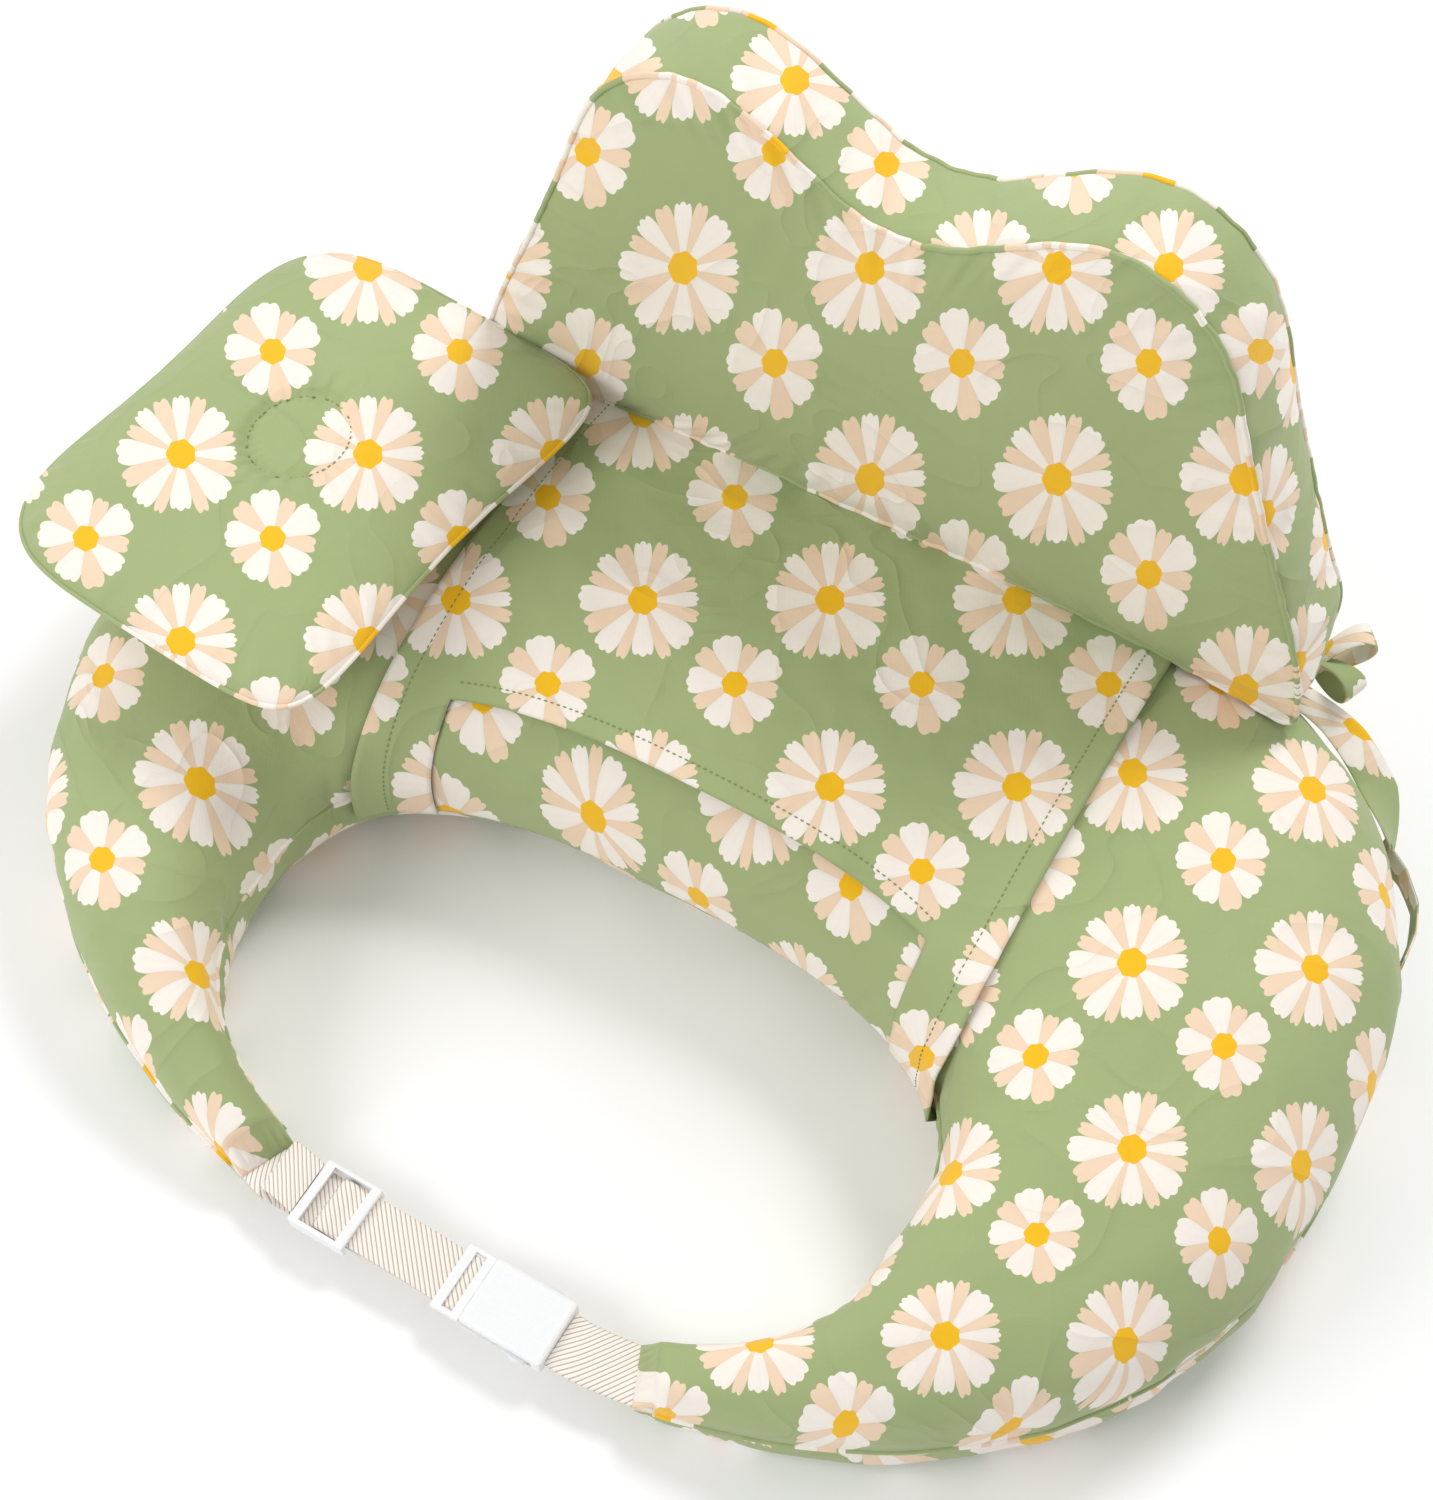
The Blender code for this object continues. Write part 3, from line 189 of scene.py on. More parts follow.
def printed_cotton():
    """Green woven cotton printed with large and small daisies, softly creased; placed by the print map."""
    made = bpy.data.materials.new("printed_cotton")
    made.use_nodes = True
    tree = made.node_tree
    shader = tree.nodes["Principled BSDF"]
    cloth = tree.nodes.new("ShaderNodeUVMap")
    cloth.uv_map = "print"
    split = tree.nodes.new("ShaderNodeSeparateXYZ")
    tree.links.new(cloth.outputs["UV"], split.inputs[0])
    place = tree.nodes.new("ShaderNodeTexCoord")
    soft = tree.nodes.new("ShaderNodeTexNoise")
    soft.inputs["Scale"].default_value = 14.0
    soft.inputs["Detail"].default_value = 3.0
    tree.links.new(place.outputs["Object"], soft.inputs["Vector"])
    green = mix(tree, soft.outputs["Fac"], (0.308, 0.378, 0.164), (0.356, 0.424, 0.198))
    tones = ((0.868, 0.806, 0.732), (0.820, 0.622, 0.448), (0.848, 0.476, 0.004))
    across, up = split.outputs[0], split.outputs[1]
    small = flower(tree, across, up, (0.49, -0.45), 0.0226, 0.0058, 10, 2.3, green, tones)
    both = flower(tree, across, up, (0.0, 0.0), 0.0296, 0.0066, 16, 1.1, small, tones)
    tree.links.new(both, shader.inputs["Base Color"])
    shader.inputs["Roughness"].default_value = 0.82
    shader.inputs["Sheen Weight"].default_value = 0.18
    shader.inputs["Sheen Roughness"].default_value = 0.55
    shader.inputs["Specular IOR Level"].default_value = 0.28
    weave = woven(tree, cloth.outputs["UV"], 46.0, 0.00025, 0.22)
    rumple = tree.nodes.new("ShaderNodeTexNoise")
    rumple.inputs["Scale"].default_value = 46.0
    rumple.inputs["Detail"].default_value = 4.0
    tree.links.new(place.outputs["Object"], rumple.inputs["Vector"])
    crease = tree.nodes.new("ShaderNodeBump")
    crease.inputs["Strength"].default_value = 0.42
    crease.inputs["Distance"].default_value = 0.0024
    tree.links.new(rumple.outputs["Fac"], crease.inputs["Height"])
    tree.links.new(weave.outputs["Normal"], crease.inputs["Normal"])
    ridges = tree.nodes.new("ShaderNodeTexNoise")
    ridges.inputs["Scale"].default_value = 11.0
    ridges.inputs["Detail"].default_value = 1.0
    ridges.inputs["Distortion"].default_value = 1.6
    tree.links.new(place.outputs["Object"], ridges.inputs["Vector"])
    off_middle = calc(tree, "ABSOLUTE", calc(tree, "SUBTRACT", ridges.outputs["Fac"], 0.5))
    sharp = calc(tree, "POWER", calc(tree, "SUBTRACT", 1.0, off_middle), 22.0)
    pulled = tree.nodes.new("ShaderNodeBump")
    pulled.inputs["Strength"].default_value = 0.34
    pulled.inputs["Distance"].default_value = 0.0022
    tree.links.new(sharp, pulled.inputs["Height"])
    tree.links.new(crease.outputs["Normal"], pulled.inputs["Normal"])
    tree.links.new(pulled.outputs["Normal"], shader.inputs["Normal"])
    return made


cotton = printed_cotton()


def sew(name, parts, finish, weld=0.000002):
    """Joins grids of points into one mesh.  Each part is an array of rows and columns of points with the
    print's place for each; points that meet are merged and the faces are turned outwards."""
    mesh = bpy.data.meshes.new(name)
    points, faces, prints, start = [], [], [], 0
    for grid, layout in parts:
        rows, columns = grid.shape[:2]
        number = start + np.arange(rows * columns).reshape(rows, columns)
        quads = np.stack([number[:-1, :-1], number[:-1, 1:], number[1:, 1:], number[1:, :-1]], axis=-1)
        points.append(grid.reshape(-1, 3))
        prints.append(np.asarray(layout, float).reshape(-1, 2))
        faces.append(quads.reshape(-1, 4))
        start += rows * columns
    faces = np.concatenate(faces)
    prints = np.concatenate(prints)
    mesh.from_pydata(np.concatenate(points).tolist(), [], faces.tolist())
    layer = mesh.uv_layers.new(name="print")
    layer.data.foreach_set("uv", prints[faces.ravel()].ravel())
    shape = bmesh.new()
    shape.from_mesh(mesh)
    bmesh.ops.remove_doubles(shape, verts=shape.verts, dist=weld)
    bmesh.ops.recalc_face_normals(shape, faces=shape.faces)
    shape.to_mesh(mesh)
    shape.free()
    mesh.shade_smooth()
    mesh.materials.append(finish)
    piece = bpy.data.objects.new(name, mesh)
    bpy.context.scene.collection.objects.link(piece)
    return piece


def lumps(points, size, seed):
    """Soft unevenness from minus one to one: a sum of seven slanting waves of about one size."""
    draw = np.random.default_rng(seed)
    total = np.zeros(points.shape[:-1])
    for _ in range(7):
        direction = draw.normal(size=3)
        direction *= 2 * math.pi / size / np.linalg.norm(direction) * draw.uniform(0.7, 1.4)
        total += np.sin(points @ direction + draw.uniform(0, 2 * math.pi))
    return total / 7 ** 0.5 / 1.6


def outward(grid):
    """Unit normals of a grid: the cross product of its two directions of travel."""
    down = np.gradient(grid, axis=0)
    along = np.gradient(grid, axis=1)
    normal = np.cross(down, along)
    size = np.linalg.norm(normal, axis=-1, keepdims=True)
    return normal / np.maximum(size, 1e-12)


# ---------------------------------------------------------------------------------------------
# Cushion.  Two printed panels, cut to a U and sewn edge to edge at mid height, are stuffed with
# loose fibre until the top is crowned; the underside lies flat where it rests.
HOLE = (0.162, 0.090, 0.090, -0.215, 2.7, math.radians(150.9))
RIM = (0.304, 0.225, 0.230, -0.100, 2.4, math.radians(163.6))
CUSHION_HEIGHT = 0.128
TIP_HEIGHT = 0.036
SEAM_LEVEL = 0.46
ROUNDING = 0.80
CUSHION_PRINT = (-0.2360, -0.0114)
ZIP_BED = (0.0, 0.050, 0.0056)
ZIP_BED_HALF = (0.1370, 0.0170)
ZIP_BED_FADE = (0.0040, 0.0035)
UNDER_FALL = 1.14


def signed_power(value, power):
    """The size raised to a power, with the sign of the value kept."""
    return np.sign(value) * np.abs(value) ** power


def plan_edge(outline, s, inset):
    """A superellipse whose angle sweeps from one arm's tip to the other; inset moves it into the cushion."""
    half_width, far, near, middle, power, sweep = outline
    angle = math.pi / 2 - sweep * s
    depth = np.where(np.sin(angle) > 0, far, near)
    x = (half_width + inset) * signed_power(np.cos(angle), 2 / power)
    y = middle + (depth + inset) * signed_power(np.sin(angle), 2 / power)
    return np.stack([x, y], axis=-1)


def cushion_height(s):
    """The height along the arms: full in the middle, falling to the tips as a cube of the station."""
    return TIP_HEIGHT + (CUSHION_HEIGHT - TIP_HEIGHT) * (1 - np.abs(s) ** 3)


def cushion_skin(s, angle, inset=0.0):
    """A point goes from the hole's edge to the rim as the section's rounded cosine, and rises and falls as
    its rounded sine, which is cut off flat underneath."""
    inner = plan_edge(HOLE, s, inset)
    outer = plan_edge(RIM, s, -inset)
    share = 0.5 - 0.5 * signed_power(np.cos(angle), ROUNDING)
    plan = inner + (outer - inner) * share[..., None]
    top = cushion_height(s)
    seam = top * SEAM_LEVEL
    rise = np.abs(np.sin(angle)) ** ROUNDING
    over = seam + (top - inset - seam) * rise
    under = np.maximum(inset, seam - (seam - inset) * UNDER_FALL * rise)
    height = np.where(np.sin(angle) >= 0, over, under)
    return np.concatenate([plan, height[..., None]], axis=-1)


def cushion_grid(first, last, steps, stations=260):
    """Stations from tip to tip and angles between two limits, as one grid."""
    s = np.linspace(-1, 1, stations)[:, None] * np.ones((1, steps))
    angle = np.linspace(first, last, steps)[None, :] * np.ones((stations, 1))
    return s, angle


def soft_cushion(s, angle):
    """The skin, swollen by its filling: shallow lumps, a pinched seam, short creases in from the seam."""
    skin = cushion_skin(s, angle)
    normal = outward(skin)
    normal *= np.where((normal[..., 2] * np.sin(angle)).sum() > 0, 1.0, -1.0)
    height = cushion_height(s)
    seam_near = np.exp(-((np.abs(np.sin(angle)) * height / 0.014) ** 2))
    fold = np.sin(s * 96 + 2.5 * np.sin(s * 17)) * np.sin(s * 41 + 1.0)
    crease_zone = np.exp(-(((np.abs(np.sin(angle)) * height - 0.016) / 0.016) ** 2))
    move = 0.0016 * lumps(skin, 0.085, 4) + 0.0006 * lumps(skin, 0.030, 9)
    move = move * (1 - seam_near) - 0.0020 * seam_near + 0.0011 * fold * crease_zone
    move *= np.clip(height / 0.10, 0.35, 1.0)
    flat = (skin[..., 2] < 0.004) & (np.sin(angle) < 0)
    soft = skin + normal * np.where(flat, 0.0, move)[..., None]
    bed = np.clip((ZIP_BED_HALF[1] - np.abs(soft[..., 1] - ZIP_BED[1])) / ZIP_BED_FADE[1], 0, 1)
    bed = bed * np.clip((ZIP_BED_HALF[0] - np.abs(soft[..., 0])) / ZIP_BED_FADE[0], 0, 1) * ZIP_BED[2]
    soft[..., 2] = np.maximum(soft[..., 2], np.where(np.sin(angle) < 0, bed, 0.0))
    return skin, soft


def unrolled(skin, mid_column):
    """The skin laid out flat: each section's length is kept, save that steep walls take up less cloth."""
    step = np.diff(skin, axis=1)
    length = np.sqrt(step[..., 0] ** 2 + step[..., 1] ** 2 + (0.75 * step[..., 2]) ** 2)
    run = np.concatenate([np.zeros((len(skin), 1)), np.cumsum(length, axis=1)], axis=1)
    run -= run[:, mid_column:mid_column + 1]
    crown = skin[:, mid_column:mid_column + 1, :]
    reach = skin[:, -1:, :2] - skin[:, :1, :2]
    reach /= np.linalg.norm(reach, axis=-1, keepdims=True)
    plan = crown[..., :2] + reach * run[..., None]
    return np.concatenate([plan, np.broadcast_to(crown[..., 2:], plan[..., :1].shape)], axis=-1)


def cushion_end(grid, layout):
    """Closes an arm's tip: the end section drawn together to its middle in three rings."""
    middle = grid.mean(axis=0)
    spread = layout.mean(axis=0)
    shares = np.array([1.0, 0.7, 0.35, 0.0])[:, None, None]
    return middle + (grid[None] - middle) * shares, spread + (layout[None] - spread) * shares


top_s, top_angle = cushion_grid(0.0, math.pi, 61)
top_skin, top_soft = soft_cushion(top_s, top_angle)
top_print = print_layout(unrolled(top_skin, 30), CUSHION_PRINT)
low_s, low_angle = cushion_grid(math.pi, 2 * math.pi, 91)
low_skin, low_soft = soft_cushion(low_s, low_angle)
low_flat = unrolled(low_skin, 45)
low_print = low_flat[..., :2] / REPEAT * np.array([1.0, -1.0])
cushion_parts = [(top_soft, top_print), (low_soft, low_print)]
for end in (0, -1):
    ring = np.concatenate([top_soft[end], low_soft[end][1:]])
    ring_print = np.concatenate([top_print[end], low_print[end][1:]])
    cushion_parts.append(cushion_end(ring, ring_print))
cushion = sew("cushion_cover", cushion_parts, cotton)
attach(cushion, "cushion")
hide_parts("base_top_cover", "base_bottom_cover", "base_filling")


def ridge(name, path, radius, layout, finish, sides=8):
    """A rolled edge: a tube of one radius carried along a path, closed by its own ends."""
    ahead = np.gradient(path, axis=0)
    ahead /= np.linalg.norm(ahead, axis=-1, keepdims=True)
    side = np.cross(ahead, [0.0, 0.0, 1.0])
    side /= np.maximum(np.linalg.norm(side, axis=-1, keepdims=True), 1e-9)
    up = np.cross(side, ahead)
    turn = np.linspace(0, 2 * math.pi, sides + 1)
    size = np.full(len(path), radius)
    ring = side[:, None] * np.cos(turn)[None, :, None] + up[:, None] * np.sin(turn)[None, :, None]
    grid = path[:, None] + ring * size[:, None, None]
    grid = np.concatenate([np.broadcast_to(path[:1, None], grid[:1].shape), grid,
                           np.broadcast_to(path[-1:, None], grid[:1].shape)])
    prints = np.concatenate([layout[:1], layout, layout[-1:]])
    return sew(name, [(grid, np.broadcast_to(prints[:, None], grid.shape[:2] + (2,)))], finish)


# Seam lines of the cushion: the turned-in allowances make a thin roll round the rim and the hole.
for name, column in (("cushion_hole_seam", 0), ("cushion_rim_seam", -1)):
    seam = ridge(name, top_soft[:, column], 0.0013, top_print[:, column], cotton)
    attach(seam, "cushion")


# ---------------------------------------------------------------------------------------------
# Lap panel and pocket.  A flat-felled panel lies over the middle of the cushion from the fence to
# the waist; its upper layer ends in a hemmed slit, and the pocket's lining shows below it.
PANEL_HALF = 0.148
POCKET_HALF = 0.118
PANEL_PRINT = (-0.0334, -0.0168)
LINING_PRINT = (-0.0657, -0.0136)
SLIT_ANGLE = math.radians(38.0)
PANEL_FOOT_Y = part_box("lap_panel")[1][1]


def station_at(x, angle):
    """The station where the cushion's skin has this x, found by halving."""
    low = np.full(np.shape(x), -0.6)
    high = np.full(np.shape(x), 0.6)
    for _ in range(30):
        middle = (low + high) / 2
        short = cushion_skin(middle, angle)[..., 0] < x
        low = np.where(short, middle, low)
        high = np.where(short, high, middle)
    return (low + high) / 2


def angle_at(x, y):
    """The section angle where the cushion's top reaches this y at this x."""
    low = np.full(np.shape(x), math.radians(40.0))
    high = np.full(np.shape(x), math.radians(178.0))
    for _ in range(30):
        middle = (low + high) / 2
        short = cushion_skin(station_at(x, middle), middle)[..., 1] < y
        low = np.where(short, middle, low)
        high = np.where(short, high, middle)
    return (low + high) / 2


def on_cushion(x, angle, lift):
    """Points that lie on the cushion at x and a section angle, lifted along the skin's normal."""
    s = station_at(x, angle)
    step = 0.002
    along = cushion_skin(s + step, angle) - cushion_skin(s - step, angle)
    around = cushion_skin(s, angle + step) - cushion_skin(s, angle - step)
    normal = np.cross(along, around)
    normal /= np.linalg.norm(normal, axis=-1, keepdims=True)
    normal *= np.sign(normal[..., 2:] - normal[..., 1:2] * 0.2)
    return cushion_skin(s, angle) + normal * np.asarray(lift)[..., None]


def panel_sheet(half, first, last, lift, thickness, rows=70, columns=120):
    """A cloth whose rows run from the waist to the fence: an upper and a lower face joined round the edge."""
    x = np.linspace(-half, half, columns)[None, :] * np.ones((rows, 1))
    share = np.linspace(0, 1, rows)[:, None]
    angle = first + (last - first) * share
    upper = on_cushion(x, angle, lift + thickness)
    lower = on_cushion(x, angle, lift * np.ones_like(x))
    return x, angle, upper, lower


def closed_sheet(upper, lower, layout):
    """Upper face, lower face and the four strips between them."""
    parts = [(upper, layout), (lower[::-1], layout[::-1])]
    for pick in (np.s_[0, :], np.s_[-1, :], np.s_[:, 0], np.s_[:, -1]):
        strip = np.stack([upper[pick], lower[pick]])
        parts.append((strip, np.stack([layout[pick], layout[pick]])))
    return parts


low_angle_limit = math.radians(-8.0)
LINING_LIFT = 0.0008
CLOTH = 0.0011

x, angle, upper, lower = panel_sheet(POCKET_HALF, low_angle_limit, math.radians(70.0), LINING_LIFT, CLOTH)
lining_print = print_layout(unrolled(np.swapaxes(upper, 0, 1), 69).swapaxes(0, 1), LINING_PRINT)
lining = sew("pocket_lining_cloth", closed_sheet(upper, lower, lining_print), cotton)
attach(lining, "cushion")
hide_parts("pocket_lining")


# The panel's own layer: its sides run on past the slit, so it is cut as a broad U.
PANEL_LIFT = 0.0026
HEM_COLUMNS = 14


def panel_columns():
    """Places across the lap panel: even over the pocket, then even from its sides to the hems."""
    side = np.linspace(POCKET_HALF, PANEL_HALF, HEM_COLUMNS)
    return np.concatenate([-side[::-1], np.linspace(-POCKET_HALF, POCKET_HALF, 110)[1:-1], side])


def panel_layer(x, angle, extra):
    """The cloth stands a little off the cushion, more at the slit's edge, which gapes, and it is rumpled."""
    gape = np.exp(-((angle - SLIT_ANGLE) / 0.16) ** 2) * np.clip(1 - (x / POCKET_HALF) ** 2, 0, 1)
    spot = on_cushion(x, angle, PANEL_LIFT + 0.0052 * gape)
    rumple = 0.0007 * lumps(spot, 0.045, 21) + 0.0004 * lumps(spot, 0.018, 22)
    return on_cushion(x, angle, PANEL_LIFT + extra + 0.0052 * gape + rumple)


columns = panel_columns()
foot_at = angle_at(columns, PANEL_FOOT_Y * np.ones_like(columns))
main_share = np.linspace(0, 1, 74)[:, None]
main_angle = SLIT_ANGLE + (foot_at[None, :] - SLIT_ANGLE) * main_share
main_x = np.broadcast_to(columns, main_angle.shape)
side_angle = np.linspace(low_angle_limit, SLIT_ANGLE, 26)[:, None] * np.ones((1, HEM_COLUMNS))
panel_parts = []
blocks = [(main_x, main_angle)]
for block in (columns[:HEM_COLUMNS], columns[-HEM_COLUMNS:]):
    blocks.append((np.broadcast_to(block, side_angle.shape), side_angle))
faces_of = [(panel_layer(x, a, CLOTH), panel_layer(x, a, 0.0)) for x, a in blocks]
looks_of = [print_layout(upper, PANEL_PRINT) for upper, _ in faces_of]
for (upper, lower), layout in zip(faces_of, looks_of):
    panel_parts += [(upper, layout), (lower, layout)]
rims = [
    (0, np.s_[-1, :]), (0, np.s_[:, 0]), (0, np.s_[:, -1]), (0, np.s_[0, HEM_COLUMNS - 1:-HEM_COLUMNS + 1]),
    (1, np.s_[0, :]), (1, np.s_[:, 0]), (1, np.s_[:, -1]),
    (2, np.s_[0, :]), (2, np.s_[:, 0]), (2, np.s_[:, -1]),
]
for block, pick in rims:
    upper, lower = faces_of[block]
    layout = looks_of[block][pick]
    panel_parts.append((np.stack([upper[pick], lower[pick]]), np.stack([layout, layout])))
panel = sew("lap_panel_cloth", panel_parts, cotton)
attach(panel, "cushion")
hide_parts("lap_panel")


def thread_material():
    """Sewing thread for the visible stitches."""
    made = bpy.data.materials.new("sewing_thread")
    made.use_nodes = True
    tree = made.node_tree
    shader = tree.nodes["Principled BSDF"]
    place = tree.nodes.new("ShaderNodeTexCoord")
    twist = tree.nodes.new("ShaderNodeTexNoise")
    twist.inputs["Scale"].default_value = 900.0
    tree.links.new(place.outputs["Object"], twist.inputs["Vector"])
    tone = mix(tree, twist.outputs["Fac"], (0.155, 0.215, 0.080), (0.250, 0.330, 0.140))
    tree.links.new(tone, shader.inputs["Base Color"])
    shader.inputs["Roughness"].default_value = 0.6
    return made


thread = thread_material()


def stitches(name, path, normal, pitch, radius, finish):
    """A run of stitches: along a path, every pitch, a short thread that dips at both its ends.  Each is a
    six-sided spindle whose thickness is the sine of the way along it."""
    step = np.linalg.norm(np.diff(path, axis=0), axis=1)
    run = np.concatenate([[0.0], np.cumsum(step)])
    count = int(run[-1] / pitch)
    starts = (np.arange(count) + 0.18) * pitch
    along = np.linspace(0, 1, 6)
    at = starts[:, None] + along[None, :] * pitch * 0.66
    axis = np.stack([np.interp(at, run, path[:, i]) for i in range(3)], axis=-1)
    out = np.stack([np.interp(at, run, normal[:, i]) for i in range(3)], axis=-1)
    out /= np.linalg.norm(out, axis=-1, keepdims=True)
    ahead = axis[:, -1:] - axis[:, :1]
    ahead /= np.linalg.norm(ahead, axis=-1, keepdims=True)
    side = np.cross(out, np.broadcast_to(ahead, out.shape))
    turn = np.linspace(0, 2 * math.pi, 7)
    thick = radius * np.sin(math.pi * (0.08 + 0.84 * along)) ** 0.6
    thick[[0, -1]] = 0.0
    ring = out[:, :, None] * np.sin(turn)[:, None] + side[:, :, None] * np.cos(turn)[:, None]
    rise = radius * 0.55 * np.sin(math.pi * along)
    grid = axis[:, :, None] + out[:, :, None] * rise[None, :, None, None] + ring * thick[None, :, None, None]
    flat = np.zeros(grid.shape[1:3] + (2,))
    return sew(name, [(one, flat) for one in grid], finish, weld=1e-7)


def panel_line(x, angle):
    """A line on the panel's upper face with its outward direction."""
    low = panel_layer(x, angle, CLOTH)
    high = panel_layer(x, angle, CLOTH + 0.001)
    return low, (high - low) / 0.001


lines = []
edge_angle = np.linspace(math.radians(-4), foot_at[-1], 240)
for side in (-1, 1):
    for inset in (0.011,):
        lines.append((np.full(240, side * (PANEL_HALF - inset)), edge_angle))
slit_x = np.linspace(-POCKET_HALF, POCKET_HALF, 260)
lines.append((slit_x, np.full(260, SLIT_ANGLE + math.radians(5.5))))
for number, (x, angle) in enumerate(lines):
    path, out = panel_line(x, angle)
    run = stitches(f"panel_stitches_{number}", path, out, 0.0030, 0.00032, thread)
    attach(run, "cushion")


# ---------------------------------------------------------------------------------------------
# Fence.  Two cloud-shaped faces joined by a broad band and stuffed; it stands on the cushion's crown,
# held by a strip of hook-and-loop under its foot, and its back face opens with a zip.
FENCE_FRONT = 0.045
FENCE_BACK = 0.089
FENCE_CENTRE_Z = 0.215
FENCE_PRINT = (-0.0152, 0.2191)
BAND_PRINT = (0.0357, 0.3045)
FENCE_ZIP_Z = 0.172
CLOUD = np.array([
    (0.000, 0.302), (0.022, 0.307), (0.043, 0.319), (0.065, 0.332), (0.088, 0.339),
    (0.109, 0.335), (0.127, 0.323), (0.139, 0.308), (0.147, 0.290), (0.156, 0.264),
    (0.166, 0.238), (0.179, 0.206), (0.190, 0.180), (0.201, 0.150),
])


def spline(points, steps):
    """Catmull-Rom curve through the points: each span is a cubic of its four nearest points."""
    padded = np.concatenate([2 * points[:1] - points[1:2], points, 2 * points[-1:] - points[-2:-1]])
    t = np.linspace(0, 1, steps, endpoint=False)[None, :, None]
    a, b, c, d = (padded[i:len(padded) - 3 + i, None] for i in range(4))
    curve = 0.5 * (2 * b + (c - a) * t
                   + (2 * a - 5 * b + 4 * c - d) * t ** 2 + (3 * b - a - 3 * c + d) * t ** 3)
    return np.concatenate([curve.reshape(-1, points.shape[1]), points[-1:]])


def even(curve, count):
    """The same curve with its points at equal distances."""
    run = np.concatenate([[0.0], np.cumsum(np.linalg.norm(np.diff(curve, axis=0), axis=1))])
    at = np.linspace(0, run[-1], count)
    return np.stack([np.interp(at, run, curve[:, i]) for i in range(curve.shape[1])], axis=-1)


def softened(loop, spread):
    """A closed loop smoothed by a bell curve over its neighbours, so its corners are round."""
    near = np.arange(-3 * spread, 3 * spread + 1)
    weight = np.exp(-0.5 * (near / spread) ** 2)
    weight /= weight.sum()
    return sum(w * np.roll(loop, -k, axis=0) for k, w in zip(near, weight))


def crown_height(x, y):
    """The height of the cushion's top under a place in plan."""
    angle = angle_at(x, y)
    return cushion_skin(station_at(x, angle), angle)[..., 2]


def fence_edge(y, foot_x):
    """The closed outline of the fence at one depth: the cloud's curve, then back along the foot."""
    half = np.concatenate([CLOUD, [(foot_x, 0.0)]])
    half[-1, 1] = crown_height(np.array([foot_x]), np.array([y]))[0] + 0.008
    curve = spline(half, 12)
    cloud = np.concatenate([curve[::-1] * np.array([-1.0, 1.0]), curve[1:]])
    across = np.linspace(foot_x - 0.004, 0.004 - foot_x, 90)
    floor = crown_height(across, np.full(90, y)) + 0.0042
    loop = np.concatenate([even(cloud, 300), np.stack([across, floor], axis=-1)])
    closed = even(np.concatenate([loop, loop[:1]]), 421)[:-1]
    return softened(closed, 2)


front_edge = fence_edge(FENCE_FRONT, 0.207)
back_edge = fence_edge(FENCE_BACK, 0.194)
fence_middle = np.array([0.0, FENCE_CENTRE_Z])


def fence_face(edge, y, direction, bulge):
    """Rings drawn in from the seam to the middle.  The face is crowned: it stands proud by the bulge times
    a power of the distance from the seam, with short creases that fade inwards."""
    closed = np.concatenate([edge, edge[:1]])
    r = np.concatenate([[1.0, 0.992, 0.98, 0.965, 0.945], np.linspace(0.92, 0.02, 36), [0.0]])[:, None, None]
    plan = fence_middle + (closed[None] - fence_middle) * r
    seam_gap = (1 - r[..., 0]) * np.linalg.norm(closed - fence_middle, axis=-1)[None]
    arc = np.linspace(0, 2 * math.pi, len(closed))[None, :]
    crown = 1 - np.exp(-seam_gap / 0.018)
    crease = np.sin(58 * arc + 3 * np.sin(9 * arc)) * np.sin(23 * arc + 1.3)
    crease = crease * np.exp(-((seam_gap - 0.010) / 0.012) ** 2) * 0.0011
    keep_flat = 1 - np.exp(-((plan[..., 1] - FENCE_ZIP_Z) / 0.020) ** 4) if direction > 0 else 1.0
    spot = np.stack([plan[..., 0], np.full(plan.shape[:2], y), plan[..., 1]], axis=-1)
    soft = 0.0016 * lumps(spot, 0.090, 31 + direction) * crown
    proud = (bulge * crown + crease + soft) * keep_flat
    spot[..., 1] += direction * proud
    return spot


front_face = fence_face(front_edge, FENCE_FRONT, -1, 0.0052)
back_face = fence_face(back_edge, FENCE_BACK, 1, 0.0050)
seam_front, seam_back = front_face[0], back_face[0]
v = np.linspace(0, 1, 17)[:, None, None]
band = seam_front[None] * (1 - v) + seam_back[None] * v
tangent = np.gradient(np.concatenate([seam_front[-3:-1], seam_front, seam_front[1:3]]), axis=0)[2:-2]
out = np.stack([tangent[:, 2], np.zeros(len(tangent)), -tangent[:, 0]], axis=-1)
out /= np.linalg.norm(out, axis=-1, keepdims=True)
out *= np.sign((out * (seam_front - np.array([0.0, FENCE_FRONT, FENCE_CENTRE_Z]))).sum())
on_foot = seam_front[:, 2] < 0.137
arc = np.linspace(0, 2 * math.pi, len(seam_front))
swell = np.where(on_foot, 0.0, 0.0036 + 0.0008 * np.sin(31 * arc) + 0.0006 * np.sin(53 * arc + 1.0))
band = band + out[None] * (np.sin(math.pi * v[..., 0]) ** 0.6 * swell[None])[..., None]

